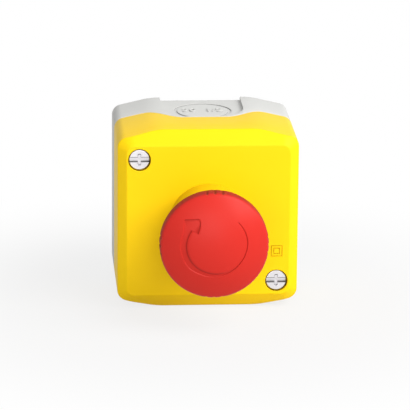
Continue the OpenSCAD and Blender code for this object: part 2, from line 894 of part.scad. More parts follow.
module pusher() {
    upright() color(acetal) difference() {
        union() {
            disc(pusher_r, pusher_flange_rear, pusher_front);
            disc(stem_r, stem_rear, pusher_front);
            for (a = [0, 180]) rotate(a)
                block(0, bore_r + key_h, -key_w / 2, key_w / 2,
                      pusher_flange_rear, pusher_front);
        }
        disc(spindle_r + run_gap, stem_rear - over, pusher_front + over);
    }
}

module pusher_plate() {
    upright() color(acetal) difference() {
        union() {
            disc(plate_d / 2, plate_rear, plate_rear + plate_t * plate_rim);
            translate([0, 0, plate_rear + plate_t * plate_rim])
                cylinder(r1 = plate_d / 2, r2 = stem_r, h = plate_t * (1 - plate_rim));
        }
        disc(spindle_r + run_gap, plate_rear - over, stem_rear + over);
        disc(clip_r + touch, plate_rear - over, plate_rear + clip_t + 2 * touch);
    }
}

module return_spring() {
    mid_r = (stem_r + slide_room + bore_r) / 2;
    upright() color(zinc)
        coil(mid_r, spring_wire, 6, ledge_front + eps, pusher_flange_rear - eps, 18, 6);
}

// Half profile of the head: low dome, rounded shoulder, straight rim
function cap_profile(inset) =
    let (cx = head_r - shoulder_r,
         lean = asin(cx / (dome_r - shoulder_r)),
         dome_z = head_front - dome_r,
         cz = dome_z + (dome_r - shoulder_r) * cos(lean))
    concat(arc([0, dome_z], dome_r - inset, 90, 90 - lean, 10),
           arc([cx, cz], max(shoulder_r - inset, 0.3), 90 - lean, 0, 8));

module mushroom_cap() {
    foot = cam_front + touch;
    ceiling = head_front - head_t;
    upright() color(red) difference() {
        union() {
            difference() {
                rotate_extrude()
                    polygon(concat([[0, head_rear]], cap_profile(0),
                                   arc([head_r - head_edge_r, head_rear + head_edge_r],
                                       head_edge_r, 0, -90, 4)));
                rotate_extrude()
                    polygon(concat([[0, head_rear - over]], cap_profile(head_t),
                                   [[head_r - max(head_t, shoulder_r - 0.3), head_rear - over]]));
            }
            disc(hub_r, foot, ceiling - hub_sink);
            tube(skirt_r, skirt_r - skirt_t, collar_top - skirt_lap, ceiling - 3 * hub_sink);
            for (a = [45:90:315]) rotate(a)
                block(0, head_r - head_t / 2, -head_rib_t / 2, head_rib_t / 2,
                      head_rear + head_rib_low, ceiling - head_rib_high);
        }
        disc(spindle_r + press_gap, foot - over, ceiling - socket_floor);
        for (side = [0:90:270], k = [-1, 0, 1])
            rotate(side + k * notch_step) translate([head_r + 0.1, 0, head_rear - over])
                cylinder(r = notch_r, h = head_h, $fn = 24);
    }
}

module spindle() {
    clip_z = plate_rear + touch;
    upright() color(zinc) difference() {
        disc(spindle_r, plate_rear, head_front - head_t - socket_floor - eps);
        tube(spindle_r + over, spindle_r - clip_groove, clip_z, clip_z + clip_t);
    }
}

module release_cam() {
    upright() color(acetal) translate([0, 0, cam_rear]) linear_extrude(cam_t)
        difference() {
            union() {
                circle(r = hub_r);
                intersection() {
                    circle(r = lobe_r);
                    square([3 * hub_r, cam_w], center = true);
                }
            }
            circle(r = spindle_r + press_gap);
        }
}

module spindle_clip() {
    z0 = plate_rear + touch;
    upright() color(zinc) difference() {
        tube(clip_r, spindle_r - clip_groove + press_gap,
             z0 + press_gap, z0 + clip_t - press_gap);
        block(-clip_mouth / 2, clip_mouth / 2, 0, 2 * clip_r, z0 - over, z0 + 2 * over);
    }
}

base_housing();
nc_block_housing();
nc_block_cover();
nc_contacts();
nc_clamps();
nc_terminal_screws();
no_block_housing();
no_block_cover();
no_contacts();
no_clamps();
no_terminal_screws();
lid();
lid_gasket();
lid_screws();
screw_retainers();
collar();
ring_seal();
head_sleeve();
fixing_nut();
wiper_seal();
latch_pins();
latch_ring();
pusher();
pusher_plate();
return_spring();
mushroom_cap();
spindle();
release_cam();
spindle_clip();
nc_plunger();
nc_bridge();
nc_spring();
no_plunger();
no_bridge();
no_spring();
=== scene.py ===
"""Emergency stop control station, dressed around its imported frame."""
import json
import math
from types import SimpleNamespace

import bmesh
import bpy
import numpy as np
from bpy.props import FloatProperty, FloatVectorProperty, IntProperty, PointerProperty
from mathutils import Matrix, Vector
from mathutils.geometry import delaunay_2d_cdt


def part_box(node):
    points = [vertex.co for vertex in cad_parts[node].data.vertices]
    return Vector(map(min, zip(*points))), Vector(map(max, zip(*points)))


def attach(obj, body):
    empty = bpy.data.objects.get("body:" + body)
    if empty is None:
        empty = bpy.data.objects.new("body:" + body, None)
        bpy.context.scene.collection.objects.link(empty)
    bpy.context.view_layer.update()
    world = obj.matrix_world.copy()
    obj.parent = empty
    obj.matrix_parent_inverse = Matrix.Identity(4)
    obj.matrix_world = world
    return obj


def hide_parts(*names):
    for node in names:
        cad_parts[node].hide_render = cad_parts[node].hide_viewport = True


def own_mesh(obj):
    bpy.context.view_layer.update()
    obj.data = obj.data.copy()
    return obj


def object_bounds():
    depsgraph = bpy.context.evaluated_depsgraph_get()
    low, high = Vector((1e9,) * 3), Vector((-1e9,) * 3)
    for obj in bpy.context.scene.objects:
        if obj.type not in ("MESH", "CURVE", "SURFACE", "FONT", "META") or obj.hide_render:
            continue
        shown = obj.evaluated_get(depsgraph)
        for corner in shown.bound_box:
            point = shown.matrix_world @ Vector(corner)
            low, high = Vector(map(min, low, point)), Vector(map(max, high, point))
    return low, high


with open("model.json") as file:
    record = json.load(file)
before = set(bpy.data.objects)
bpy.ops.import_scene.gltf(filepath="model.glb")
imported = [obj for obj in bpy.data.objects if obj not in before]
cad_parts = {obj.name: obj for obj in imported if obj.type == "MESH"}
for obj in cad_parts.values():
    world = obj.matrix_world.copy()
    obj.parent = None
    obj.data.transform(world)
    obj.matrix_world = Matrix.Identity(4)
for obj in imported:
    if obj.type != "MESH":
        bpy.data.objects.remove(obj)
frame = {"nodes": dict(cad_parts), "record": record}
CAD_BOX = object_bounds()

bl_info = {
    "name": "Stop station builder",
    "version": (1, 0, 0),
    "blender": (4, 5, 0),
    "location": "View3D > Sidebar > Stop station",
    "description": "Builds a two-part moulded stop station with a mushroom head",
    "category": "Add Mesh",
}


# Settings

def length(name, description, millimetres):
    return FloatProperty(name=name, description=description, default=millimetres / 1000,
                         unit="LENGTH", subtype="DISTANCE", precision=5)


def angle(name, description, degrees):
    return FloatProperty(name=name, description=description, default=math.radians(degrees),
                         subtype="ANGLE")


def tone(name, description, red, green, blue):
    """Colour property written as display values from 0 to 255, kept as linear light."""
    value = np.array([red, green, blue]) / 255
    linear = np.where(value <= 0.04045, value / 12.92, ((value + 0.055) / 1.055) ** 2.4)
    return FloatVectorProperty(name=name, description=description, default=tuple(linear),
                               subtype="COLOR", size=3, min=0, max=1)


class EnclosureSizes(bpy.types.PropertyGroup):
    width: length("Width", "Width of the enclosure", 68)
    height: length("Height", "Height over the crowned top and bottom", 69)
    depth: length("Depth", "Depth from the wall to the front face", 53)
    wall: length("Wall", "Thickness of the side walls", 2.3)
    face: length("Front wall", "Thickness of the front wall", 2.5)
    back: length("Back plate", "Thickness of the back plate", 2.5)
    crown_flat: length("Crown flat", "Half width of the flat middle of the top edge", 16)
    crown_r: length("Crown radius", "Radius of the crown beside its flat", 28)
    crown_turn: angle("Crown turn", "Angle the top edge turns before the corner", 13)
    corner_r: length("Corner radius", "Radius of the outer corners", 4)
    bevel_w: length("Bevel width", "Width of the bevel at the sides", 3.4)
    bevel_d: length("Bevel depth", "Depth of the bevel at the sides", 2.6)
    face_h: length("Face height", "Height of the flat front face", 58)
    face_r: length("Face corner", "Corner radius of the flat front face", 3)
    edge: length("Edge rounding", "Rounding of the bevel's two edges", 0.8)
    fine_edge: length("Fine rounding", "Rounding of edges along the parting line", 0.2)


class JointSizes(bpy.types.PropertyGroup):
    side: length("Side depth", "Depth of the parting line at the sides", 20.5)
    middle: length("Middle depth", "Depth of the parting line over the entries", 30.5)
    flat: length("Wave flat", "Half width of the forward part", 8)
    end: length("Wave end", "Where the line is back at the side depth", 24)
    gap: length("Gap", "Gap between lid and base", 0.25)
    tongue_t: length("Tongue thickness", "Thickness of the tongue on the base", 1)
    tongue_h: length("Tongue height", "Height of the tongue", 2.2)
    tongue_gap: length("Tongue gap", "Clearance round the tongue", 0.3)
    rebate: length("Rebate", "Depth of the rebate in the lid", 3.4)
    land_w: length("Land width", "Width of the land round a cable entry", 31.2)
    land_d: length("Land depth", "Depth of that land", 1.3)
    entry_at: length("Entry centre", "Distance of the entry from the wall", 16.5)
    entry_d: length("Entry diameter", "Diameter of the knock-out plate", 20.4)
    groove_w: length("Groove width", "Width of the break-out groove", 1.2)
    groove_d: length("Groove depth", "Depth of the break-out groove", 1.6)


class HeadSizes(bpy.types.PropertyGroup):
    diameter: length("Diameter", "Diameter of the mushroom head", 40)
    reach: length("Reach", "Distance from the front face to the crown", 38)
    height: length("Height", "Height of the head", 14)
    dome_r: length("Dome radius", "Radius of the low dome", 38)
    shoulder_r: length("Shoulder", "Radius between dome and rim", 2)
    wall: length("Wall", "Thickness of dome and rim", 2.2)
    taper_h: length("Taper height", "Height of the drawn-in part behind the grip rim", 3.6)
    draw_in: length("Draw-in", "Loss of radius over the taper, to the rear edge", 1.1)
    notch_r: length("Notch radius", "Radius of a grip notch", 0.6)
    notch_step: angle("Notch step", "Angle between notches of a group", 8.4)
    arrow_side: length("Arrow side", "Width of the sloping sides of the sunk arrow", 0.3)
    arrow_d: length("Arrow depth", "Depth of the sunk arrow", 0.3)
    collar_d: length("Collar diameter", "Diameter of the collar at the face", 29)
    collar_h: length("Collar height", "Height of the collar", 12)
    collar_taper: length("Collar taper", "Loss of radius up the collar", 0.9)


class StationColours(bpy.types.PropertyGroup):
    lid: tone("Lid", "Yellow of the lid and collar", 249, 208, 16)
    head: tone("Head", "Red of the mushroom head", 200, 42, 33)
    base: tone("Base", "Light grey of the base", 208, 208, 205)
    block: tone("Blocks", "Grey of the contact blocks", 196, 198, 198)
    dark: tone("Black parts", "Black mouldings", 34, 34, 36)
    acetal: tone("Pusher", "White of the sliding parts", 232, 231, 224)
    closed: tone("Break contact", "Red of one plunger", 196, 40, 36)
    opened: tone("Make contact", "Green of the other plunger", 40, 138, 68)
    rubber: tone("Seals", "Black rubber", 40, 40, 42)
    zinc: tone("Screws", "Zinc-plated steel", 224, 222, 225)
    steel: tone("Springs", "Bright spring steel", 190, 192, 196)
    brass: tone("Contacts", "Brass of the contacts", 214, 172, 92)


class StudioSettings(bpy.types.PropertyGroup):
    azimuth: angle("Azimuth", "Turn of the camera to the left", 4.11)
    elevation: angle("Elevation", "Height of the camera as an angle", 16.21)
    roll: angle("Roll", "Roll of the camera", 0.51)
    distance: length("Distance", "Camera to target", 1200)
    target: FloatVectorProperty(name="Target", description="Point the camera looks at",
                                default=(-0.00075, -0.045, 0.00388), subtype="TRANSLATION")
    focal_px: FloatProperty(name="Focal length", description="In image widths", default=7.766)
    key: FloatProperty(name="Key light", description="Power of the soft light at the right",
                       default=9.1, unit="POWER")
    front: FloatProperty(name="Front light", description="Power of the soft light in front",
                         default=7.2, unit="POWER")
    fill: FloatProperty(name="Surround", description="Strength of the surrounding light",
                        default=0.5)
    facets: IntProperty(name="Round steps", description="Steps round a circle", default=96)


GROUPS = {"enclosure": EnclosureSizes, "joint": JointSizes, "head": HeadSizes,
          "colours": StationColours, "studio": StudioSettings}

# Places and sizes in millimetres that several pieces share
SCREW_SPOTS = [(25.9, -23.8), (-25.9, 23.8)]
FIXING_SPOTS = [(27.0, 0.0), (-27.0, 0.0)]
WELL_R, WELL_FLOOR, POST_END = 4.25, 49.0, 19.7
SIGN_CENTRE, SIGN_HALF = (25.85, -12.1), 2.2
ARROW_CENTRE, ARROW_TAIL = (0.65, 0.95), 51


def in_mm(group):
    """A settings group as plain numbers: lengths in millimetres, the rest unchanged."""
    owner = getattr(bpy.context.scene, "station_" + group)
    values = {}
    for prop in owner.bl_rna.properties:
        if prop.identifier in ("rna_type", "name"):
            continue
        value = getattr(owner, prop.identifier)
        is_length = prop.type == "FLOAT" and prop.unit == "LENGTH" and not prop.is_array
        values[prop.identifier] = value * 1000 if is_length else value
    return SimpleNamespace(**values)


# Surfaces

def stand(points):
    """(x, up, depth) in millimetres to the frame in metres: X = x, Y = -depth, Z = up."""
    points = np.asarray(points, float)
    return np.stack([points[..., 0], -points[..., 2], points[..., 1]], -1) / 1000


def deep(points, depth):
    """Points (x, up) of a plane laid at a depth, or each at its own."""
    return np.column_stack([points, np.broadcast_to(depth, (len(points),))])


def unit(vectors):
    """Vectors (..., D) divided by their lengths, and the lengths."""
    size = np.maximum(np.linalg.norm(vectors, axis=-1, keepdims=True), 1e-9)
    return vectors / size, size


def rounded(path, radii, steps=4):
    """Path (K, ..., D) with its inner corners made arcs: about a corner B between the unit
    directions a and b the arc's centre is B + (a + b) / |a + b| * r / sin(half angle). An arc
    takes up to 0.45 of a side that ends in another arc, and up to 0.95 of any other side."""
    path = np.asarray(path, float)
    rows = [path[0][None]]
    for k in range(1, len(path) - 1):
        if radii[k] <= 0:
            rows.append(path[k][None])
            continue
        (a, la), (b, lb) = unit(path[k - 1] - path[k]), unit(path[k + 1] - path[k])
        half = np.arccos(np.clip((a * b).sum(-1, keepdims=True), -0.9999, 0.9999)) / 2
        share = [0.45 if radii[m] > 0 else 0.95 for m in (k - 1, k + 1)]
        cut = np.minimum(radii[k] / np.tan(half), np.minimum(share[0] * la, share[1] * lb))
        r = cut * np.tan(half)
        centre = path[k] + unit(a + b)[0] * r / np.sin(half)
        start, end = path[k] + a * cut - centre, path[k] + b * cut - centre
        sweep = math.pi - 2 * half
        s = np.linspace(0, 1, steps + 1).reshape((-1,) + (1,) * start.ndim)
        blend = (np.sin((1 - s) * sweep) * start + np.sin(s * sweep) * end) / np.sin(sweep)
        rows.append(centre + blend)
    rows.append(path[-1][None])
    return np.concatenate(rows)


def circle(r, centre=(0, 0), n=96):
    """n points of a circle in the plane: centre + r * (cos t, sin t)."""
    t = np.linspace(0, 2 * math.pi, n, endpoint=False)
    return np.stack([centre[0] + r * np.cos(t), centre[1] + r * np.sin(t)], -1)


def box_loop(x0, x1, y0, y1, r, steps=4):
    """Rectangle with rounded corners: four quarter arcs of radius r joined by its sides."""
    t = np.linspace(0, math.pi / 2, steps + 1)
    loop = [np.stack([cx + r * np.cos(t + k * math.pi / 2),
                      cy + r * np.sin(t + k * math.pi / 2)], -1)
            for k, (cx, cy) in enumerate([(x1 - r, y1 - r), (x0 + r, y1 - r),
                                          (x0 + r, y0 + r), (x1 - r, y0 + r)])]
    return np.concatenate(loop)


def inside(points, loop):
    """Even-odd test: a ray to the right of each point crosses the loop an odd number of times."""
    x, y = points[:, :1], points[:, 1:]
    ax, ay = loop[:, 0], loop[:, 1]
    bx, by = np.roll(ax, -1), np.roll(ay, -1)
    spans = (ay > y) != (by > y)
    rise = np.where(by == ay, 1e-12, by - ay)
    return ((spans & (x < ax + (y - ay) * (bx - ax) / rise)).sum(1) % 2).astype(bool)


def shrink(loop, amount):
    """Loop moved inwards along the mean normal of its two edges at each point."""
    ahead, behind = np.roll(loop, -1, 0) - loop, loop - np.roll(loop, 1, 0)
    along = unit(unit(ahead)[0] + unit(behind)[0])[0]
    normal = np.stack([-along[:, 1], along[:, 0]], -1)
    area = (loop[:, 0] * np.roll(loop[:, 1], -1) - np.roll(loop[:, 0], -1) * loop[:, 1]).sum()
    return loop + normal * amount * np.sign(area)


def weld(mesh, distance, flat=False):
    """Joins points that meet. Then flat faces are made whole again, or else empty faces go
    and the rest are turned outwards."""
    built = bmesh.new()
    built.from_mesh(mesh)
    bmesh.ops.remove_doubles(built, verts=built.verts, dist=distance)
    if flat:
        bmesh.ops.dissolve_limit(built, angle_limit=math.radians(1), verts=built.verts,
                                 edges=built.edges)
    else:
        bmesh.ops.dissolve_degenerate(built, edges=built.edges, dist=1e-7)
        bmesh.ops.recalc_face_normals(built, faces=built.faces)
    built.to_mesh(mesh)
    built.free()


def store_painted_shade(mesh, depth):
    """Writes each point's painted shade, from 0 to 1, as the groove attribute, which the finishes
    read to darken the colour.
    """
    values = np.asarray(depth, np.float32)
    mesh.attributes.new("groove", "FLOAT", "POINT").data.foreach_set("value", values)


def into_scene(name, mesh, smooth=None):
    """The mesh as an object, smooth apart from edges over an angle in degrees if one is given."""
    if smooth:
        mesh.shade_smooth()
        mesh.set_sharp_from_angle(angle=math.radians(smooth))
    made = bpy.data.objects.new(name, mesh)
    bpy.context.scene.collection.objects.link(made)
    return made


class Shell:
    """Vertices and faces of one piece, gathered from grids, plates and turned profiles."""

    def __init__(self):
        self.points, self.faces, self.creases, self.count = [], [], [], 0

    def add(self, points, faces, painted_shade=0.0):
        self.points.append(points.reshape(-1, 3))
        self.faces.append(faces + self.count)
        self.creases.append(np.broadcast_to(painted_shade, points.shape[:-1]).ravel())
        self.count += len(self.points[-1])

    def grid(self, points, around=True, keep=None, painted_shade=0.0):
        """Quads over a (rows, columns) grid of (x, up, depth), closed round the columns.
        The last argument gives each point's painted shade, from 0 to 1, which darkens its colour."""
        m, n = points.shape[:2]
        index = np.arange(m * n).reshape(m, n)
        if around:
            index = np.hstack([index, index[:, :1]])
        quads = np.stack([index[:-1, :-1], index[1:, :-1], index[1:, 1:], index[:-1, 1:]], -1)
        quads = quads[keep] if keep is not None else quads.reshape(-1, 4)
        self.add(points, quads, painted_shade)

    def turned(self, profile, centre=(0, 0), n=96, place=None, painted_shade=0.0):
        """Profile of (radius, height) turned about an axis: (r cos t, r sin t, height)."""
        profile = np.asarray(profile, float)
        t = np.linspace(0, 2 * math.pi, n, endpoint=False)
        r, h = profile[:, :1], profile[:, 1:]
        points = np.stack([centre[0] + r * np.cos(t), centre[1] + r * np.sin(t),
                           np.broadcast_to(h, (len(r), n))], -1)
        self.grid(place(points) if place else points, painted_shade=painted_shade)

    def plate(self, outer, holes, height, place=None):
        """Flat plate at one height between an outer loop and its holes, as triangles."""
        loops = [outer] + list(holes)
        starts = np.cumsum([0] + [len(loop) for loop in loops])
        ends = [np.roll(np.arange(len(loop)), -1) + s for s, loop in zip(starts, loops)]
        edges = np.column_stack([np.arange(starts[-1]), np.concatenate(ends)])
        flat = np.concatenate(loops).astype(np.float32)
        found = delaunay_2d_cdt(flat.tolist(), edges.tolist(), [], 0, 1e-6)
        points, faces = np.array(found[0]), np.array(found[2])
        middle = points[faces].mean(1)
        keep = inside(middle, outer)
        for hole in holes:
            keep &= ~inside(middle, hole)
        lifted = deep(points, height)
        quads = np.column_stack([faces[keep], faces[keep][:, 2]])
        self.add(place(lifted) if place else lifted, quads)

    def slab(self, loop, low, high, r, place=None):
        """Closed slab over a loop from low to high, with rounded edges at both ends."""
        guard = shrink(loop, 2 * r)
        path = np.stack([deep(guard, low), deep(loop, low), deep(loop, high), deep(guard, high)])
        path = rounded(path, [0, r, r, 0], 3)
        self.grid(place(path) if place else path)
        self.plate(guard, [], low, place)
        self.plate(guard, [], high, place)

    def finish(self, name, smooth=32):
        """The gathered surfaces as one object, welded, with every face turned outwards."""
        points = stand(np.concatenate(self.points))
        faces = np.concatenate(self.faces)
        mesh = bpy.data.meshes.new(name)
        mesh.from_pydata(points.tolist(), [], [tuple(dict.fromkeys(f)) for f in faces.tolist()])
        # painted shade of all the gathered surfaces, kept on the mesh for the finishes
        painted_shade = np.concatenate(self.creases)
        if painted_shade.any():
            store_painted_shade(mesh, painted_shade)
        weld(mesh, 2e-6)
        return into_scene(name, mesh, smooth)


def dress(piece, body, slot, *nodes):
    """Gives a piece the finish of its material slot and its body, and hides the nodes it stands
    for.
    """
    piece.data.materials.clear()
    piece.data.materials.append(bpy.data.materials[FINISH_OF_SLOT[slot]])
    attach(piece, body)
    if nodes:
        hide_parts(*nodes)


# Lid and base

def crowned_outline(e, land=0):
    """Outer edge as points and outward normals, clockwise from the middle of the top. A
    quarter is a flat, an arc of the crown, its tangent, the corner arc and the side. With a
    land of that half width its columns are doubled at the edge, and low marks those on it."""
    turn = math.radians(round(math.degrees(e.crown_turn), 3))
    hw, hh = e.width / 2, e.height / 2
    flat = np.linspace(0, e.crown_flat, 41)[:-1]
    low = np.zeros(len(flat), bool)
    if land:
        inner = land * np.sin(np.linspace(0, math.pi / 2, 30))
        flat = np.concatenate([inner, [land], np.linspace(land, e.crown_flat, 4)[1:-1]])
        low = np.arange(len(flat)) < len(inner)
    leaning = np.array([math.sin(turn), math.cos(turn)])
    c1 = np.array([e.crown_flat, hh - e.crown_r])
    cx = hw - e.corner_r
    cy = (leaning @ c1 + e.crown_r - e.corner_r - leaning[0] * cx) / leaning[1]
    a = np.linspace(0, turn, 17)
    crown_n = np.stack([np.sin(a), np.cos(a)], -1)
    crown_p = c1 + e.crown_r * crown_n
    start = np.array([cx, cy]) + e.corner_r * leaning
    line_p = crown_p[-1] + np.linspace(0, 1, 22)[1:-1, None] * (start - crown_p[-1])
    a = np.linspace(turn, math.pi / 2, 17)
    corner_n = np.stack([np.sin(a), np.cos(a)], -1)
    corner_p = np.array([cx, cy]) + e.corner_r * corner_n
    side = np.linspace(cy, 0, 13)[1:]
    p = np.concatenate([deep(flat[:, None], hh), crown_p, line_p, corner_p,
                        np.column_stack([np.full(len(side), hw), side])])
    n = np.concatenate([np.tile([0.0, 1.0], (len(flat), 1)), crown_n,
                        np.tile(leaning, (len(line_p), 1)), corner_n,
                        np.tile([1.0, 0.0], (len(side), 1))])
    low = np.concatenate([low, np.zeros(len(p) - len(low), bool)])
    turns = [(slice(None), (1, 1)), (slice(-2, None, -1), (1, -1)),
             (slice(1, None), (-1, -1)), (slice(-2, 0, -1), (-1, 1))]
    return (np.concatenate([p[cut] * sign for cut, sign in turns]),
            np.concatenate([n[cut] * sign for cut, sign in turns]),
            np.concatenate([low[cut] for cut, _ in turns]))


def seam_depth(x, j):
    """Parting line: side + (middle - side) * (1 + cos(pi t)) / 2 with t across the wave."""
    t = np.clip((np.abs(x) - j.flat) / (j.end - j.flat), 0, 1)
    return j.side + (j.middle - j.side) * (1 + np.cos(math.pi * t)) / 2


def to_face(points, e):
    """Nearest point of the face's rounded rectangle, the way out from it, and the distance."""
    core = np.array([e.width / 2 - e.bevel_w - e.face_r, e.face_h / 2 - e.face_r])
    near = np.clip(points, -core, core)
    way, gap = unit(points - near)
    return near + e.face_r * way, way, gap[:, 0] - e.face_r


def square(half):
    """One square about the double square's centre, its corners barely rounded."""
    x, y = SIGN_CENTRE
    return box_loop(x - half, x + half, y - half, y + half, 0.1, 2)


def sink_double_square(shell, face):
    """Two sunk square lines, each a grid over four loops, and the plates within them."""
    inner, line, slope, sink, shade = 1.25, 0.36, 0.06, 0.35, 0.36
    down = np.array([0, sink, sink, 0])[:, None]
    for half in (SIGN_HALF, inner):
        loops = np.stack([square(half - cut) for cut in (0, slope, line - slope, line)])
        depth = np.broadcast_to(face - down, loops.shape[:2])
        shell.grid(np.dstack([loops, depth]), painted_shade=(down > 0) * shade)
    shell.plate(square(SIGN_HALF - line), [square(inner)], face)
    shell.plate(square(inner - line), [], face)


def head_hole(facets):
    """Hole for the head sleeve: a circle with a square key cut in its top."""
    bore, key, key_top = 11.15, 1.6, 12.4
    start = math.asin(key / bore)
    t = np.linspace(math.pi / 2 - start, -1.5 * math.pi + start, facets)
    return np.concatenate([bore * np.stack([np.cos(t), np.sin(t)], -1),
                           [[-key, key_top], [key, key_top]]])


def lid_shell(e, j, facets):
    """Lid as one wall: rings run from the flat face over the bevel, whose depth is
    face - slope * distance to the face's edge, down to the parting line, through the
    rebate and back up inside; plates close the face, and each screw well is turned."""
    shell = Shell()
    p, n, _ = crowned_outline(e)
    slope = e.bevel_d / e.bevel_w
    ring = lambda inset: p - inset * n
    outer, lip, wall = ring(0), ring(e.wall - j.tongue_t - j.tongue_gap), ring(e.wall)
    edge, way, gap = to_face(outer, e)
    edge_in, way_in, gap_in = to_face(wall, e)
    inner = e.depth - e.face
    margin, margin_in = 0.29, 0.15
    face_loop, ceiling_loop = edge - margin * way, edge_in - margin_in * way_in
    seam = lambda q: seam_depth(q[:, 0], j)
    path = np.stack([
        deep(face_loop, e.depth), deep(edge, e.depth), deep(outer, e.depth - slope * gap),
        deep(outer, seam(outer) + j.gap), deep(lip, seam(lip) + j.gap),
        deep(lip, seam(lip) + j.rebate), deep(wall, seam(wall) + j.rebate),
        deep(wall, inner - slope * gap_in), deep(edge_in, inner), deep(ceiling_loop, inner)])
    f = e.fine_edge
    shell.grid(rounded(path, [0, e.edge, e.edge, f, f, 0, f, 0.4, 0, 0]))
    hole = head_hole(facets)
    mouth_r, relief_r = WELL_R + 0.12, WELL_R + 0.1
    mouths = [circle(mouth_r, c, facets) for c in SCREW_SPOTS]
    shell.plate(face_loop, mouths + [hole, square(SIGN_HALF)], e.depth)
    sink_double_square(shell, e.depth)
    shell.grid(np.stack([deep(hole, e.depth), deep(hole, inner)]))
    foot_r, ring_r, ring_in, foot_in, ring_h = 16.8, 16.4, 15.2, 14.8, 2
    nut_ring = [(foot_r, inner), (ring_r, inner), (ring_r, inner - ring_h),
                (ring_in, inner - ring_h), (ring_in, inner), (foot_in, inner)]
    shell.turned(rounded(nut_ring, [0, 0.2, 0.25, 0.25, 0.2, 0], 3), n=facets)
    seats = [circle(relief_r, c, facets) for c in SCREW_SPOTS]
    shell.plate(ceiling_loop, seats + [circle(foot_r, n=facets)], inner)
    shell.plate(circle(foot_in, n=facets), [hole], inner)
    step, dark_end = inner + 0.7, e.depth - 0.6
    mouth = rounded([(mouth_r, e.depth), (WELL_R, e.depth), (WELL_R, dark_end), (WELL_R, step),
                     (relief_r, step), (relief_r, inner)], [0, 0.11, 0, 0, 0, 0])
    shade = np.clip(1.6 * (e.depth - mouth[:, 1:]), 0, 0.95)
    cup_r, cup_end, post_r, neck_r, bore_r = 5.75, 47.1, 3.9, 3.05, 2.25
    neck_end = POST_END + 1.2
    tube = [(WELL_R, step), (cup_r, step), (cup_r, cup_end), (post_r, cup_end),
            (post_r, POST_END), (neck_r, POST_END), (neck_r, neck_end), (bore_r, neck_end),
            (bore_r, WELL_FLOOR), (WELL_R, WELL_FLOOR), (WELL_R, step)]
    tube = rounded(tube, [0, 0, 0.3, 0.4, 0.2, 0, 0, 0, 0.1, 0.2, 0], 3)
    for c in SCREW_SPOTS:
        shell.turned(mouth, c, facets, painted_shade=shade)
        shell.turned(tube, c, facets)
    return shell.finish("lid_shell")


def knock_outs(shell, e, j, facets, edges, end):
    """Land, break-out groove and inner pad of both cable entries. Edges are the grid's points
    along the low and the high side of the lands' edge, and end is the pads' depth."""
    wall_w, wall_r, lip, inwards = 0.1, 0.18, 0.5, 0.4
    near = j.entry_d / 2 - inwards
    far = near + j.groove_w
    groove = rounded([(far + lip, 0), (far, 0), (far - wall_w, -j.groove_d),
                      (near + wall_w, -j.groove_d), (near, 0), (near - lip, 0), (0, 0)],
                     [0, wall_r, 0.15, 0.15, wall_r, 0, 0], 3)
    shade = np.clip(-5 * groove[:, 1:] / j.groove_d, 0, 1)
    pad_r, pad_out, pad_in, pad_foot = j.land_w / 2 + 1.2, 1.7, 3.6, 1.25
    t = np.linspace(math.asin((end - j.entry_at) / pad_r), 0, 24)
    right = np.concatenate([pad_r * np.stack([np.cos(t), np.sin(t)], -1),
                            [[pad_r, pad_foot - j.entry_at]]])
    pad = np.concatenate([right, right[::-1] * [-1, 1]])
    top, land_y = e.height / 2, e.height / 2 - j.land_d
    for sign in (1, -1):
        low, high = [row[row[:, 1] * sign > 0] for row in edges]
        order = np.argsort(low[:, 0])
        loop = np.concatenate([low[order], high[order][::-1]])[:, [0, 2]] - [0, j.entry_at]
        place = lambda q: np.stack([q[..., 0], sign * q[..., 2], j.entry_at + q[..., 1]], -1)
        shell.plate(loop, [circle(groove[0, 0], n=facets)], land_y, place)
        shell.turned(groove + [0, land_y], n=facets, place=place, painted_shade=shade)
        shell.slab(pad, top - pad_in, top - pad_out, 0.25, place)


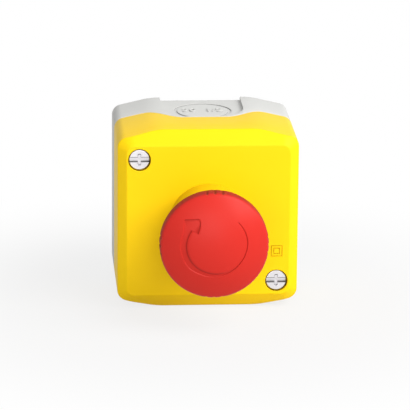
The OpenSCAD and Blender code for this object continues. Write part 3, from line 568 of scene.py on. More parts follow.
def base_shell(e, j, facets):
    """Base as one wall: rings run from the back plate up the outside, where the columns over
    a cable entry lie lower as far as the land's arch, a circle about the entry cut off near
    the parting line, over the tongue and down inside."""
    shell = Shell()
    land_r, land_end = j.land_w / 2, j.middle - 0.8
    p, n, low = crowned_outline(e, land_r)
    x = np.clip(p[:, 0], -land_r, land_r)
    arch = np.minimum(j.entry_at + np.sqrt(land_r ** 2 - x ** 2), land_end)
    sunk = p - n * (low * j.land_d)[:, None]
    ring = lambda inset: p - inset * n
    seam = lambda q, more=0.0: seam_depth(q[:, 0], j) + more
    margin = 1.2
    tongue, wall, guard = ring(e.wall - j.tongue_t), ring(e.wall), ring(e.wall + margin)
    path = np.stack([
        deep(sunk - margin * n, 0), deep(sunk, 0), deep(sunk, arch), deep(p, arch),
        deep(p, seam(p)), deep(tongue, seam(tongue)), deep(tongue, seam(tongue, j.tongue_h)),
        deep(wall, seam(wall, j.tongue_h)), deep(wall, e.back), deep(guard, e.back)])
    f, steps = e.fine_edge, 4
    path = rounded(path, [0, 0.4, 0, f, f, 0, 0.15, 0.15, 0.5, 0], steps)
    arch_low, arch_high = steps + 1, steps + 2
    keep = np.ones((len(path) - 1, len(p)), bool)
    keep[arch_low, low & np.roll(low, -1)] = False
    shell.grid(path, keep=keep)
    knock_outs(shell, e, j, facets, path[[arch_low, arch_high]][:, low], land_end)
    hole_r, mouth_r, inner_r, floor = 2.15, 2.75, 2.4, 1.4
    boss_r, boss_end = 5.15, 4
    pocket_x, pocket_y, pocket_d = np.array([5, 22]), np.array([7, 25.5]), 0.6
    pockets = [box_loop(*sorted(sx * pocket_x), *sorted(sy * pocket_y), 1)
               for sx in (1, -1) for sy in (1, -1)]
    shell.plate(path[0][:, :2], [circle(mouth_r, c, facets) for c in FIXING_SPOTS] + pockets, 0)
    for loop in pockets:
        shell.grid(np.stack([deep(loop, 0), deep(loop, pocket_d)]))
        shell.plate(loop, [], pocket_d)
    post_r, post_foot, post_end, pilot_r, pilot_end = 4, 4.4, 19.5, 1.66, 8
    shell.plate(path[-1][:, :2], [circle(inner_r, c, facets) for c in FIXING_SPOTS]
                + [circle(post_foot, c, facets) for c in SCREW_SPOTS], e.back)
    for c in FIXING_SPOTS:
        shell.turned(rounded([(mouth_r, 0), (hole_r, 0), (hole_r, floor), (inner_r, floor),
                              (inner_r, e.back)], [0, 0.3, 0, 0, 0], 3), c, facets)
        boss = [(hole_r, floor), (hole_r, boss_end), (boss_r, boss_end), (boss_r, floor),
                (hole_r, floor)]
        shell.turned(rounded(boss, [0, 0.2, 0.3, 0, 0], 3), c, facets)
    rib_t, rib_end, root = 0.7, 18.5, e.back - 1.2
    side_x, side_y = 32.6, 32
    for cx, cy in SCREW_SPOTS:
        post = [(post_foot, e.back), (post_r, e.back), (post_r, post_end),
                (pilot_r, post_end), (pilot_r, pilot_end), (0, pilot_end)]
        shell.turned(rounded(post, [0, 0.15, 0.3, 0.2, 0, 0], 3), (cx, cy), facets)
        across = (cx - rib_t, cx + rib_t), (cy - rib_t, cy + rib_t)
        along_x = sorted((cx, math.copysign(side_x, cx)))
        along_y = sorted((cy, math.copysign(side_y, cy)))
        for xs, ys in ((along_x, across[1]), (across[0], along_y)):
            shell.slab(box_loop(*xs, *ys, 0.2), root, rib_end, 0.15)
    fin, fin_end = box_loop(-0.4, 0.4, -17, 17, 0.15), 6.5
    shell.slab(fin, root, fin_end, 0.1)
    hook_x, hook_y, hook_w = 12.25, 7, 2
    hook = np.array([[0.65, root], [0.65, 13.1], [-0.65, 13.1], [-1.45, 11.7], [-0.65, 11.7],
                     [-0.65, root]])
    for sx in (1, -1):
        for y in (hook_y, -hook_y):
            place = lambda q: np.stack([sx * hook_x + q[..., 0], y + q[..., 2], q[..., 1]], -1)
            shell.slab(hook * [sx, 1], -hook_w, hook_w, 0.1, place)
    return shell.finish("base_shell")


# Head and collar

def arrow_edges(t):
    """Sunk arrow about its own centre: for a ray at angle t, the radii of its two edges, how
    deep each edge is and how much painted shade it has. The band's radii are read between
    measured angles, counted back from the tail, and the head's straight sides are r = |a + s (b -
    a)|."""
    polar = lambda p: (np.degrees(-np.arctan2(p[:, 1], p[:, 0])) + ARROW_TAIL) % 360
    run = lambda a, b: (np.array(a) + np.linspace(0, 1, 24)[:, None]
                        * (np.array(b) - a) - ARROW_CENTRE)
    tip, upper, lower, bulge = (-5.42, 11.4), (-11.2, 10.9), (-6.2, 5.8), (-5.35, 8.9)
    way = (ARROW_TAIL - np.degrees(t)) % 360
    edges = []
    for knots, radii, corners in (
            ([0, 4, 60, 111, 141, 158, 189, 212, 235],
             [11.9, 11.2, 10.1, 10.1, 10.15, 10.15, 10.5, 10.8, 11.0],
             [(-8.35, 7.0), lower, bulge, tip]),
            ([0, 25, 46, 65, 88, 111, 141, 173, 193, 231],
             [11.9, 11.66, 11.43, 11.06, 10.8, 11.06, 11.53, 12.4, 13.2, 13.4],
             [(-11.9, 5.5), upper, tip])):
        sides = np.concatenate([run(a, b)[:-1] for a, b in zip(corners, corners[1:])]
                               + [run(tip, tip)[:1]])
        edges.append(np.interp(way, np.concatenate([knots, polar(sides), [360]]),
                               np.concatenate([radii, np.hypot(*sides.T), radii[:1]])))
    depth = [np.interp(way, [0, 105, 140, 286, 290], [0, 0, 1, 1, 0]),
             np.interp(way, [0, 3, 286, 290], [0, 1, 1, 0])]
    # painted shade along the arrow's edges: the inner edge from partway along, the outer edge
    # strong except over its middle stretch
    full_shade, light_shade = 0.56, 0.12
    edge_shade = [np.interp(way, [0, 110, 140], [0, 0, full_shade]),
             np.interp(way, [0, 110, 165, 266, 270], [full_shade, full_shade, light_shade, light_shade, full_shade])]
    return edges, depth, [g * d for g, d in zip(edge_shade, depth)]


def dome_profile(h, inset, steps):
    """Dome and shoulder arcs of the head, moved inwards by inset, as (radius, depth)."""
    centre = h.crown - h.dome_r
    big, small = h.dome_r - inset, max(h.shoulder_r - inset, 0.3)
    cx = h.diameter / 2 - inset - small
    lean = math.asin(cx / (big - small))
    cz = centre + (big - small) * math.cos(lean)
    r = np.linspace(0, big * math.sin(lean), steps)
    dome = np.column_stack([r, centre + np.sqrt(big ** 2 - r ** 2)])
    a = np.linspace(lean, math.pi / 2, 13)[1:]
    return np.concatenate([dome, np.column_stack([cx + small * np.sin(a),
                                                  cz + small * np.cos(a)])])


def arrow_dome(h, t, rim_r):
    """Dome as rows of points and their painted shade. Sixteen rows reach the arrow's inner edge,
    the next follow its side, bottom and other side, and the last widen to the rim. The surface
    sinks by depth * (3 s^2 - 2 s^3) across each side."""
    ray = np.stack([np.cos(t), np.sin(t)], -1)
    (near, far), (deep_in, deep_out), (dark_in, dark_out) = arrow_edges(t)
    side = np.minimum(h.arrow_side, 0.3 * (far - near))
    column = lambda *values: np.array(values)[:, None]
    s, k, back = column(0.33, 0.67, 1), column(0.25, 0.5, 0.75), column(1, 0.67, 0.33, 0)
    ease = lambda s: 3 * s ** 2 - 2 * s ** 3
    start = np.linspace(0, 1, 16)[:, None]
    radii = np.concatenate([start * near, near + s * side,
                            near + side + k * (far - near - 2 * side), far - back * side])
    sink = np.concatenate([0 * start * t, ease(s) * deep_in,
                           deep_in + k * (deep_out - deep_in), ease(back) * deep_out])
    dark = np.concatenate([0 * start * t, column(0.6, 1, 0.5) * dark_in,
                           0.12 * (dark_in + k * (dark_out - dark_in)),
                           column(0.5, 1, 0.6, 0) * dark_out])
    spot = np.array(ARROW_CENTRE) + radii[..., None] * ray
    out = np.linspace(0, 1, 14)[1:, None, None]
    spot = np.concatenate([spot, spot[-1] + out * (rim_r * ray - spot[-1])])
    depth = h.crown - h.dome_r + np.sqrt(h.dome_r ** 2 - (spot ** 2).sum(-1))
    depth[:len(sink)] -= h.arrow_d * sink
    dark = np.concatenate([dark, np.zeros((len(spot) - len(dark), len(t)))])
    return np.concatenate([spot, depth[..., None]], -1), dark


def notched(h, r, t):
    """Radius of the grip notches at angle t, and a large one between them: a notch pushes the
    rim in to the circle R cos d - sqrt(a^2 - R^2 sin^2 d), in four groups of three."""
    big, clear = r + 0.1, 99
    least = np.full(len(t), float(clear))
    for quarter in range(4):
        for m in (-1, 0, 1):
            at = quarter * math.pi / 2 + m * h.notch_step
            d = (t - at + math.pi) % (2 * math.pi) - math.pi
            dip = h.notch_r ** 2 - (big * np.sin(d)) ** 2
            notch = big * np.cos(d) - np.sqrt(np.maximum(dip, 0))
            least = np.minimum(least, np.where((dip > 0) & (np.abs(d) < 0.2), notch, clear))
    return least


def head_shell(h):
    """Head turned from its half section, with the arrow sunk in its dome, grip notches in its
    rim, and a skirt, a hub and four webs inside."""
    shell = Shell()
    t = np.linspace(0, 2 * math.pi, 640, endpoint=False)
    r, rear, ceiling = h.diameter / 2, h.crown - h.height, h.crown - h.wall
    inner_r = r - h.wall
    rim = dome_profile(h, 0, 2)[1:]
    dome, dark = arrow_dome(h, t, rim[0, 0])
    tail = rounded([(r, rim[-1, 1]), (r, rear + h.taper_h), (r - h.draw_in, rear),
                    (inner_r, rear), (inner_r, rear + 5)], [0, 0.5, 0.5, 0.4, 0], 6)
    profile = np.concatenate([rim[1:], tail[1:], dome_profile(h, h.wall, 16)[::-1]])
    radius = np.repeat(profile[:, :1], len(t), 1)
    outer_rows = slice(0, len(rim) + len(tail) - 5)
    radius[outer_rows] = np.minimum(radius[outer_rows], notched(h, r, t))
    rest = np.stack([radius * np.cos(t), radius * np.sin(t),
                     np.broadcast_to(profile[:, 1:], radius.shape)], -1)
    # painted shade on the head: none on the shoulder, rising to half over the wall behind it and
    # inside
    rim_dark = 0.5 * np.clip((np.arange(len(rest)) - 3) / 7, 0, 1)[:, None]
    shell.grid(np.concatenate([dome, rest]), painted_shade=np.concatenate([dark, rim_dark + 0 * t]))
    skirt_r, skirt_in, skirt_top, foot = 11.9, 10.6, 87.3, 62
    skirt = [(skirt_in, skirt_top), (skirt_in, foot), (skirt_r, foot), (skirt_r, skirt_top),
             (skirt_in, skirt_top)]
    shell.turned(rounded(skirt, [0, 0.3, 0.3, 0, 0], 3))
    hub_r, bore_r, hub_foot, hub_top, bore_top = 7, 3, 61.6, ceiling - 0.5, ceiling - 2
    hub = [(bore_r, hub_foot), (hub_r, hub_foot), (hub_r, hub_top), (0, hub_top),
           (0, bore_top), (bore_r, bore_top), (bore_r, hub_foot)]
    shell.turned(rounded(hub, [0, 0.3, 0, 0, 0, 0, 0], 3))
    web = box_loop(6, 18.9, -0.7, 0.7, 0.2)
    for a in math.pi / 4 * np.array([1, 3, 5, 7]):
        turn = np.array([[math.cos(a), math.sin(a)], [-math.sin(a), math.cos(a)]])
        shell.slab(web @ turn, rear + 3, ceiling - 4.5, 0.15)
    return shell.finish("mushroom_head", 40)


def collar_shell(h, face, facets):
    """Collar turned from its half section: a tapered wall with a rounded top edge. Its flank
    gets a little painted shade, which fades towards that edge."""
    shell = Shell()
    r, top, seat_r, neck_r, seat = h.collar_d / 2, face + h.collar_h, 13.05, 12.2, face + 2.4
    edge_r = r - h.collar_taper
    profile = [(seat_r, face), (r, face), (edge_r, top), (neck_r, top), (neck_r, seat),
               (seat_r, seat), (seat_r, face)]
    outline = rounded(profile, [0, 0.25, 1, 0.3, 0, 0, 0], 5)
    flank = (outline[:, 0] > edge_r - 0.1) & (outline[:, 1] > face + 0.1)
    shade = np.where(flank, 0.3 * np.clip((top - outline[:, 1]) / 1.2, 0, 1), 0)
    shell.turned(outline, n=2 * facets, painted_shade=shade[:, None])
    return shell.finish("collar_ring")


# Screws, threads, coils, marks and softened copies

def screw_shell(facets):
    """Lid screws. A head is a stack of chords of its circle whose depth is
    top - max(slot, cross) - edge, each a ramp of the distance from its own border, closed by
    a wall under the chords' ends; the shank below is turned."""
    shell = Shell()
    r, top, neck_r, shank_r = 4.0, 52.2, 1.95, 1.56
    slot_w, slot_side, slot_d = 0.9, 0.12, 1.2
    cross_w, cross_l, cross_side, cross_end, cross_d = 0.6, 2.2, 0.15, 0.3, 0.8
    quarter = math.pi / 2
    breaks = np.array([0.74, slot_w - slot_side, slot_w, 1.06, 1.1, cross_l - cross_end, cross_l])
    y = np.concatenate([r * np.sin(np.linspace(-quarter, quarter, 81)), breaks, -breaks])
    y = np.unique(np.round(y, 4))[:, None]
    x = np.sqrt(np.maximum(r * r - y * y, 0)) * np.sin(np.linspace(-quarter, quarter, 121))
    y = np.broadcast_to(y, x.shape)
    far_x, far_y, lower = np.abs(x), np.abs(y), y < 0
    ramp = lambda d, w: np.clip(d / w, 0, 1)
    slot = ramp(slot_w - far_y, slot_side)
    cross = ramp(cross_w - far_x, cross_side) * ramp(cross_l - far_y, cross_end)
    edge = 0.4 * (1 - ramp(r - np.hypot(x, y), 0.4)) ** 2
    depth = top - np.maximum(slot_d * slot, cross_d * cross) - edge
    # painted shade: dark lines along both edges of the slot and at the ends of the cross, weaker
    # below, and a little in the slot
    border = ((np.abs(y + 0.84) < 0.1) | (np.abs(y - 0.93) < 0.14)) * (far_x > cross_w)
    ends = (np.abs(far_y - 2.05) < 0.25) * (far_x < 0.5)
    painted_shade = np.maximum(border * np.where(lower, 0.9, 1), ends * np.where(lower, 0.4, 1))
    shank = rounded([(neck_r, WELL_FLOOR), (neck_r, POST_END), (shank_r, POST_END),
                     (shank_r, 9.5), (1.1, 9), (0, 9)], [0, 0.1, 0.1, 0, 0, 0], 3)
    for cx, cy in SCREW_SPOTS:
        head = np.stack([x + cx, y + cy, depth], -1)
        shell.grid(head, around=False, painted_shade=np.maximum(painted_shade, 0.12 * slot))
        ring = np.concatenate([head[:, -1], head[-2:0:-1, 0]])
        foot = deep(ring[:, :2], WELL_FLOOR)
        shell.grid(np.stack([ring, foot]))
        shell.plate(foot[:, :2], [circle(neck_r, (cx, cy), facets)], WELL_FLOOR)
        shell.turned(shank, (cx, cy), facets)
    return shell.finish("lid_screw_pair", 30)


def helix_ridge(shell, centre, root, crest, pitch, low, high):
    """Thread: a three-sided ridge carried along (r cos t, r sin t, low + pitch t / 2 pi),
    whose height fades out in its first and last half turn."""
    turns = (high - low) / pitch
    t = np.linspace(0, 2 * math.pi * turns, int(40 * turns) + 1)[:, None]
    fade = np.clip(np.minimum(t, t[-1] - t) / math.pi, 0, 1)
    across = np.array([-0.42, 0.0, 0.42]) * pitch * fade
    r = root + (crest - root) * np.array([-0.2, 1.0, -0.2]) * fade
    z = low + pitch * t / (2 * math.pi) + across
    shell.grid(np.stack([centre[0] + r * np.cos(t), centre[1] + r * np.sin(t), z], -1))


def coil_shell(name, x, r, wire, turns, low, high):
    """Spring: a circle of the wire carried along a helix with half a flat turn at each end."""
    shell = Shell()
    t = np.linspace(0, 2 * math.pi * turns, 40 * turns + 1)[:, None]
    rise = np.clip((t / (2 * math.pi) - 0.5) / (turns - 1), 0, 1)
    b = np.linspace(0, 2 * math.pi, 12, endpoint=False)
    rr = r + wire / 2 * np.cos(b)
    z = low + wire / 2 + (high - low - wire) * rise + wire / 2 * np.sin(b)
    points = np.stack([x + rr * np.cos(t), rr * np.sin(t), z], -1)
    ends = [np.broadcast_to(points[k].mean(0), (1, len(b), 3)) for k in (0, -1)]
    shell.grid(np.concatenate([ends[0], points, ends[1]]))
    return shell.finish(name, 50)


def number_mark(name, text, spot, flip):
    """Raised number on a knock-out: lettering made a mesh first, then laid on the land. The
    points at its foot get painted shade."""
    curve = bpy.data.curves.new(name, "FONT")
    curve.body, curve.size = text, 0.0056
    curve.align_x, curve.align_y = "CENTER", "CENTER"
    curve.extrude, curve.bevel_depth = 0.0004, 0.00005
    holder = bpy.data.objects.new(name + "_flat", curve)
    bpy.context.scene.collection.objects.link(holder)
    bpy.context.view_layer.update()
    mesh = bpy.data.meshes.new_from_object(holder.evaluated_get(
        bpy.context.evaluated_depsgraph_get()))
    bpy.data.objects.remove(holder)
    turn = Matrix.Rotation(math.pi if flip else 0, 4, "X")
    mesh.transform(Matrix.Translation(Vector(spot)) @ turn)
    weld(mesh, 1e-6)
    mesh.name = name
    places = np.empty(3 * len(mesh.vertices), np.float32)
    mesh.vertices.foreach_get("co", places)
    store_painted_shade(mesh, np.abs(places[2::3]) < abs(spot[2]) + 0.0001)
    return into_scene(name, mesh)


def softened(name, node, width):
    """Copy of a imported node, welded, with its flat faces whole again and its edges rounded."""
    mesh = frame["nodes"][node].data.copy()
    mesh.name = name
    weld(mesh, 2e-6, flat=True)
    made = into_scene(name, mesh, 34)
    bevel = made.modifiers.new("rounded edges", "BEVEL")
    bevel.width, bevel.segments = width / 1000, 2
    bevel.limit_method, bevel.angle_limit = "ANGLE", math.radians(40)
    bevel.harden_normals = False
    return made


# Finishes

def wire_up(tree, kind, inputs=None, **settings):
    """Adds a node with its settings and its inputs, each a value or another node's output,
    and gives its outputs."""
    node = tree.nodes.new(kind)
    for key, value in settings.items():
        setattr(node, key, value)
    for key, value in (inputs or {}).items():
        if isinstance(value, bpy.types.NodeSocket):
            tree.links.new(value, node.inputs[key])
        else:
            node.inputs[key].default_value = value
    return node.outputs


def reckon(tree, operation, *values, **settings):
    """Math node over values and outputs."""
    return wire_up(tree, "ShaderNodeMath", dict(enumerate(values)), operation=operation,
                   **settings)[0]


def emptied(owner):
    """Node tree of a material or a world, switched on and emptied."""
    owner.use_nodes = True
    owner.node_tree.nodes.clear()
    return owner.node_tree


def shown(tree):
    """1 for rays that show a surface itself, also in gloss or through glass, and else 0."""
    rays = wire_up(tree, "ShaderNodeLightPath")
    plain = reckon(tree, "MAXIMUM", rays["Is Camera Ray"], rays["Is Glossy Ray"])
    return reckon(tree, "MAXIMUM", plain, rays["Is Transmission Ray"])


def skin_group():
    """Moulded skin: spark-eroded grain as height, faint flow mottle in the colour, painted
    shade in grooves, which are also duller, and roughness that wanders over the surface."""
    group = bpy.data.node_groups.new("Moulded skin", "ShaderNodeTree")
    for way, sockets in (("INPUT", {"Vector": "Vector", "Colour": "Color", "Mottle": "Float",
                                    "Roughness": "Float", "Spread": "Float",
                                    "Grain": "Float", "Groove": "Float"}),
                         ("OUTPUT", {"Colour": "Color", "Roughness": "Float",
                                     "Height": "Float"})):
        for name, kind in sockets.items():
            group.interface.new_socket(name, in_out=way, socket_type="NodeSocket" + kind)
    given = wire_up(group, "NodeGroupInput")
    noise = lambda **more: wire_up(group, "ShaderNodeTexNoise",
                                   {"Vector": given["Vector"], **more})["Fac"]
    grain = noise(Scale=given["Grain"], Detail=3, Roughness=0.6)
    flow = noise(Scale=42, Detail=2, Distortion=0.8)
    patch = noise(Scale=260, Detail=2)
    shift = reckon(group, "MULTIPLY_ADD", flow, given["Mottle"], 0.97)
    # painted shade: the colour darkens by up to three quarters where the groove value is high
    shade_factor = reckon(group, "MULTIPLY_ADD", given["Groove"], -0.75, 1)
    tint = wire_up(group, "ShaderNodeHueSaturation", {
        "Color": given["Colour"], "Value": reckon(group, "MULTIPLY", shift, shade_factor)})
    wander = reckon(group, "MULTIPLY_ADD", reckon(group, "SUBTRACT", patch, 0.5),
                    given["Spread"], given["Roughness"])
    dull = reckon(group, "MULTIPLY_ADD", given["Groove"], 0.5, wander, use_clamp=True)
    wire_up(group, "NodeGroupOutput", {"Colour": tint[0], "Roughness": dull, "Height": grain})
    return group


# name: colour, roughness, metallic, mottle, grain per metre, bump, spread, gloss
FINISHES = {
    "yellow moulding": ("lid", 0.44, 0, 0.05, 3200, 0.10, 0.08, 0.1),
    "red head": ("head", 0.36, 0, 0.05, 2600, 0.07, 0.08, 0.16),
    "grey moulding": ("base", 0.5, 0, 0.05, 3600, 0.14, 0.08, 0.12),
    "grey block": ("block", 0.46, 0, 0.05, 3600, 0.10, 0.08, 0.3),
    "black moulding": ("dark", 0.42, 0, 0.12, 3600, 0.12, 0.1, 0.4),
    "white acetal": ("acetal", 0.34, 0, 0.04, 3000, 0.06, 0.06, 0.4),
    "red plunger": ("closed", 0.36, 0, 0.06, 3000, 0.06, 0.06, 0.3),
    "green plunger": ("opened", 0.36, 0, 0.06, 3000, 0.06, 0.06, 0.3),
    "seal rubber": ("rubber", 0.72, 0, 0.15, 4200, 0.25, 0.12, 0.3),
    "zinc plating": ("zinc", 0.34, 1, 0.10, 2400, 0.10, 0.16, 0.5),
    "spring steel": ("steel", 0.26, 1, 0.10, 2400, 0.06, 0.12, 0.5),
    "contact brass": ("brass", 0.3, 1, 0.16, 2000, 0.08, 0.16, 0.5),
}
FINISH_OF_SLOT = {
    "grey_plastic": "grey moulding", "block_grey": "grey block",
    "black_plastic": "black moulding", "yellow_plastic": "yellow moulding",
    "red_plastic": "red head", "zinc_steel": "zinc plating",
    "spring_steel": "spring steel", "contact_brass": "contact brass",
    "seal_rubber": "seal rubber", "white_acetal": "white acetal",
    "nc_red": "red plunger", "no_green": "green plunger",
}


def make_finish(name, group, colours):
    """One material from its row of the table, with the moulded skin on it."""
    colour, rough, metal, mottle, grain, bump, spread, gloss = FINISHES[name]
    tree = emptied(bpy.data.materials.new(name))
    skin = wire_up(tree, "ShaderNodeGroup", {
        "Vector": wire_up(tree, "ShaderNodeTexCoord")["Object"],
        # the groove attribute carries painted shade into the skin's colour
        "Groove": wire_up(tree, "ShaderNodeAttribute", attribute_name="groove")["Fac"],
        "Colour": (*getattr(colours, colour), 1), "Mottle": mottle, "Roughness": rough,
        "Spread": spread, "Grain": grain}, node_tree=group)
    lift = wire_up(tree, "ShaderNodeBump", {"Strength": bump, "Distance": 0.00008,
                                            "Height": skin["Height"]})
    surface = wire_up(tree, "ShaderNodeBsdfPrincipled", {
        "Base Color": skin["Colour"], "Roughness": skin["Roughness"], "Normal": lift[0],
        "Metallic": metal, "IOR": 1.49, "Specular IOR Level": gloss})
    wire_up(tree, "ShaderNodeOutputMaterial", {"Surface": surface[0]})


# Operators

class STATION_OT_finishes(bpy.types.Operator):
    """Make the finish of every moulding, metal and seal"""
    bl_idname = "station.finishes"
    bl_label = "Finishes"

    def execute(self, context):
        group = skin_group()
        for name in FINISHES:
            make_finish(name, group, context.scene.station_colours)
        return {"FINISHED"}


class STATION_OT_lid(bpy.types.Operator):
    """Build the bevelled lid with its screw wells"""
    bl_idname = "station.lid"
    bl_label = "Lid"

    def execute(self, context):
        made = lid_shell(in_mm("enclosure"), in_mm("joint"), in_mm("studio").facets)
        dress(made, "lid", "yellow_plastic", "lid")
        return {"FINISHED"}


class STATION_OT_base(bpy.types.Operator):
    """Build the base with its cable entries, posts and hooks"""
    bl_idname = "station.base"
    bl_label = "Base"

    def execute(self, context):
        made = base_shell(in_mm("enclosure"), in_mm("joint"), in_mm("studio").facets)
        dress(made, "base", "grey_plastic", "base_housing")
        return {"FINISHED"}


class STATION_OT_head(bpy.types.Operator):
    """Build the mushroom head and the collar round its neck"""
    bl_idname = "station.head"
    bl_label = "Head and collar"

    def execute(self, context):
        h, face = in_mm("head"), in_mm("enclosure").depth
        h.crown = face + h.reach
        dress(head_shell(h), "head", "red_plastic", "mushroom_cap")
        collar = collar_shell(h, face, in_mm("studio").facets)
        dress(collar, "lid", "yellow_plastic", "collar")
        return {"FINISHED"}


class STATION_OT_threads(bpy.types.Operator):
    """Make the lid screws and cut their threads and that of the head sleeve"""
    bl_idname = "station.threads"
    bl_label = "Screws and threads"

    def execute(self, context):
        dress(screw_shell(in_mm("studio").facets), "lid", "zinc_steel", "lid_screws")
        shell = Shell()
        for spot in SCREW_SPOTS:
            helix_ridge(shell, spot, root=1.56, crest=1.95, pitch=0.7, low=9.4, high=19.4)
        dress(shell.finish("screw_threads", 20), "lid", "zinc_steel")
        shell = Shell()
        helix_ridge(shell, (0, 0), root=11.0, crest=11.3, pitch=1.5, low=37, high=45)
        dress(shell.finish("sleeve_thread", 20), "lid", "black_plastic")
        return {"FINISHED"}


class STATION_OT_springs(bpy.types.Operator):
    """Wind the return spring and the two contact springs"""
    bl_idname = "station.springs"
    bl_label = "Springs"

    def execute(self, context):
        low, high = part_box("return_spring")
        big = coil_shell("return_coil", x=0, r=7.35, wire=0.9, turns=6,
                         low=-high[1] * 1000, high=-low[1] * 1000)
        dress(big, "lid", "spring_steel", "return_spring")
        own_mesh(big)
        play = 0.08
        for name, x in (("nc", -6), ("no", 6)):
            low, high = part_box(name + "_spring")
            coil = coil_shell(name + "_coil", x, r=1.75, wire=0.5, turns=5,
                              low=-high[1] * 1000, high=-low[1] * 1000 - play)
            dress(coil, "base", "spring_steel", name + "_spring")
            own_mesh(coil)
        return {"FINISHED"}


class STATION_OT_marks(bpy.types.Operator):
    """Raise the sizes on the knock-outs"""
    bl_idname = "station.marks"
    bl_label = "Marks"

    def execute(self, context):
        joint = in_mm("joint")
        land = (in_mm("enclosure").height / 2 - joint.land_d) / 1000
        for name, sign in (("top", 1), ("bottom", -1)):
            spot = (0, -joint.entry_at / 1000, sign * land)
            mark = number_mark("entry_size_" + name, "20  1/2", spot, sign < 0)
            dress(mark, "base", "grey_plastic")
        return {"FINISHED"}


# node: rounding of its edges in millimetres, for one contact block, one plunger and the rest
BLOCK = {"block_housing": 0.2, "block_cover": 0.12, "contacts": 0.06, "clamps": 0.12,
         "terminal_screws": 0.12}
MOVER = {"plunger": 0.12, "bridge": 0.06}
INNER_PIECES = {
    **{side + part: width for side in ("nc_", "no_") for part, width in BLOCK.items()},
    "screw_retainers": 0.08, "head_sleeve": 0.12, "fixing_nut": 0.2, "wiper_seal": 0.15,
    "latch_pins": 0.1, "pusher": 0.15, "pusher_plate": 0.2, "spindle": 0.15,
    "release_cam": 0.15, "spindle_clip": 0.06,
    **{side + part: width for side in ("nc_", "no_") for part, width in MOVER.items()},
    "ring_seal": 0.1,
}


class STATION_OT_inner(bpy.types.Operator):
    """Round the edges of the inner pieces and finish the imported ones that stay"""
    bl_idname = "station.inner"
    bl_label = "Inner pieces"

    def execute(self, context):
        record = frame["record"]
        slot_of = {entry["node"]: entry["material_slot"] for entry in record["subparts"]}
        body_of = {n: b for b, ns in record["behaviour"]["bodies"].items() for n in ns}
        for node, width in INNER_PIECES.items():
            dress(softened(node + "_fine", node, width), body_of[node], slot_of[node], node)
        for node in ("lid_gasket", "latch_ring"):
            data = frame["nodes"][node].data
            data.materials.clear()
            data.materials.append(bpy.data.materials[FINISH_OF_SLOT[slot_of[node]]])
        return {"FINISHED"}


# Places in metres: what the floor is centred on, what the lamps face, and each lamp's own
# place and side
MIDDLE, AIM = (0, -0.045), (0, -0.05, 0)
LAMPS = {"key": ((0.53, -0.49, 0.576), 0.7), "front": ((-0.1, -1.4, 0.2), 0.9)}


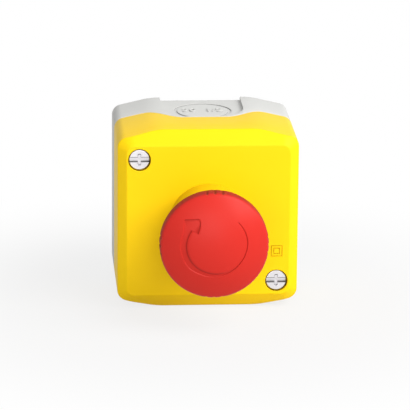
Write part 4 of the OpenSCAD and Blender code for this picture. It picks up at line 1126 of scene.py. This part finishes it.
class STATION_OT_stage(bpy.types.Operator):
    """Set the camera, the pale floor and the soft light"""
    bl_idname = "station.stage"
    bl_label = "Stage"

    def execute(self, context):
        s = in_mm("studio")
        self.camera(context.scene, s)
        self.floor()
        self.surround(context.scene, s.fill)
        for name, (spot, side) in LAMPS.items():
            self.lamp(context.scene, name, spot, side, getattr(s, name))
        context.scene.view_settings.view_transform = "Standard"
        return {"FINISHED"}

    def camera(self, scene, s):
        """Camera on a sphere about its target, turned a little about its own axis."""
        az, el, roll = s.azimuth, s.elevation, s.roll
        back = Vector((-math.sin(az) * math.cos(el), -math.cos(az) * math.cos(el),
                       math.sin(el)))
        right = (-back).cross(Vector((0, 0, 1))).normalized()
        up = right.cross(-back)
        right, up = (math.cos(roll) * right + math.sin(roll) * up,
                     -math.sin(roll) * right + math.cos(roll) * up)
        data = bpy.data.cameras.new("station_view")
        data.sensor_width, data.sensor_fit = 36, "HORIZONTAL"
        data.lens = s.focal_px * data.sensor_width
        data.clip_start, data.clip_end = 0.01, 20
        camera = bpy.data.objects.new("station_view", data)
        spot = Vector(s.target) + back * s.distance / 1000
        camera.matrix_world = Matrix.Translation(spot) @ Matrix(
            (right, up, back)).transposed().to_4x4()
        scene.collection.objects.link(camera)
        scene.camera = camera

    def floor(self):
        """Pale floor under the object: it keeps the shadow close by and is white further out."""
        low = CAD_BOX[0][2] - 0.0002
        shell = Shell()
        rings = [(r, low * 1000) for r in (0, 100, 300, 800, 2500)]
        shell.turned(rings, n=48, place=lambda q: np.stack(
            [q[..., 0], q[..., 2], -1000 * MIDDLE[1] - q[..., 1]], -1))
        floor = shell.finish("floor")
        # welding leaves the open disc facing down
        floor.data.flip_normals()
        material = bpy.data.materials.new("pale floor")
        tree = emptied(material)
        away = wire_up(tree, "ShaderNodeVectorMath", {
            0: wire_up(tree, "ShaderNodeTexCoord")["Object"], 1: (*MIDDLE, low)},
            operation="DISTANCE")["Value"]
        fade = wire_up(tree, "ShaderNodeMapRange", {
            "Value": away, "From Min": 0.06, "From Max": 0.16, "To Min": 0.8},
            interpolation_type="SMOOTHSTEP")[0]
        matt = wire_up(tree, "ShaderNodeBsdfDiffuse", {"Color": (0.6, 0.6, 0.6, 1)})[0]
        white = wire_up(tree, "ShaderNodeEmission", {"Color": (1, 1, 1, 1), "Strength": 1})[0]
        mix = wire_up(tree, "ShaderNodeMixShader", {
            0: reckon(tree, "MULTIPLY", fade, shown(tree)), 1: matt, 2: white})[0]
        wire_up(tree, "ShaderNodeOutputMaterial", {"Surface": mix})
        floor.data.materials.append(material)

    def surround(self, scene, strength):
        """Even light all round: white where it is seen, weaker where it only lights."""
        scene.world = bpy.data.worlds.new("surround")
        tree = emptied(scene.world)
        level = wire_up(tree, "ShaderNodeMapRange", {
            "Value": shown(tree), "To Min": strength, "To Max": 1})[0]
        back = wire_up(tree, "ShaderNodeBackground", {"Color": (1, 1, 1, 1), "Strength": level})
        wire_up(tree, "ShaderNodeOutputWorld", {"Surface": back[0]})

    def lamp(self, scene, name, spot, side, power):
        """Square soft light that faces the object."""
        data = bpy.data.lights.new(name, "AREA")
        data.size, data.energy = side, power
        lamp = bpy.data.objects.new(name, data)
        aim = Vector(AIM) - Vector(spot)
        lamp.matrix_world = (Matrix.Translation(Vector(spot))
                             @ aim.to_track_quat("-Z", "Y").to_matrix().to_4x4())
        scene.collection.objects.link(lamp)


OPERATORS = [STATION_OT_stage, STATION_OT_finishes, STATION_OT_lid, STATION_OT_base,
             STATION_OT_head, STATION_OT_threads, STATION_OT_springs, STATION_OT_marks,
             STATION_OT_inner]


class STATION_PT_panel(bpy.types.Panel):
    """Lists the settings and the steps of the stop station"""
    bl_label = "Stop station"
    bl_space_type = "VIEW_3D"
    bl_region_type = "UI"
    bl_category = "Stop station"

    def draw(self, context):
        for operator in OPERATORS:
            self.layout.operator(operator.bl_idname)
        for group, kind in GROUPS.items():
            box = self.layout.box()
            box.label(text=group.capitalize())
            for name in kind.__annotations__:
                box.prop(getattr(context.scene, "station_" + group), name)


def register():
    for group, kind in GROUPS.items():
        bpy.utils.register_class(kind)
        setattr(bpy.types.Scene, "station_" + group, PointerProperty(type=kind))
    for kind in OPERATORS + [STATION_PT_panel]:
        bpy.utils.register_class(kind)


def unregister():
    for kind in [STATION_PT_panel] + OPERATORS[::-1]:
        bpy.utils.unregister_class(kind)
    for group, kind in GROUPS.items():
        delattr(bpy.types.Scene, "station_" + group)
        bpy.utils.unregister_class(kind)


def main():
    register()
    for operator in OPERATORS:
        family, step = operator.bl_idname.split(".")
        getattr(getattr(bpy.ops, family), step)()
    bpy.context.view_layer.update()


if __name__ == "__main__":
    main()
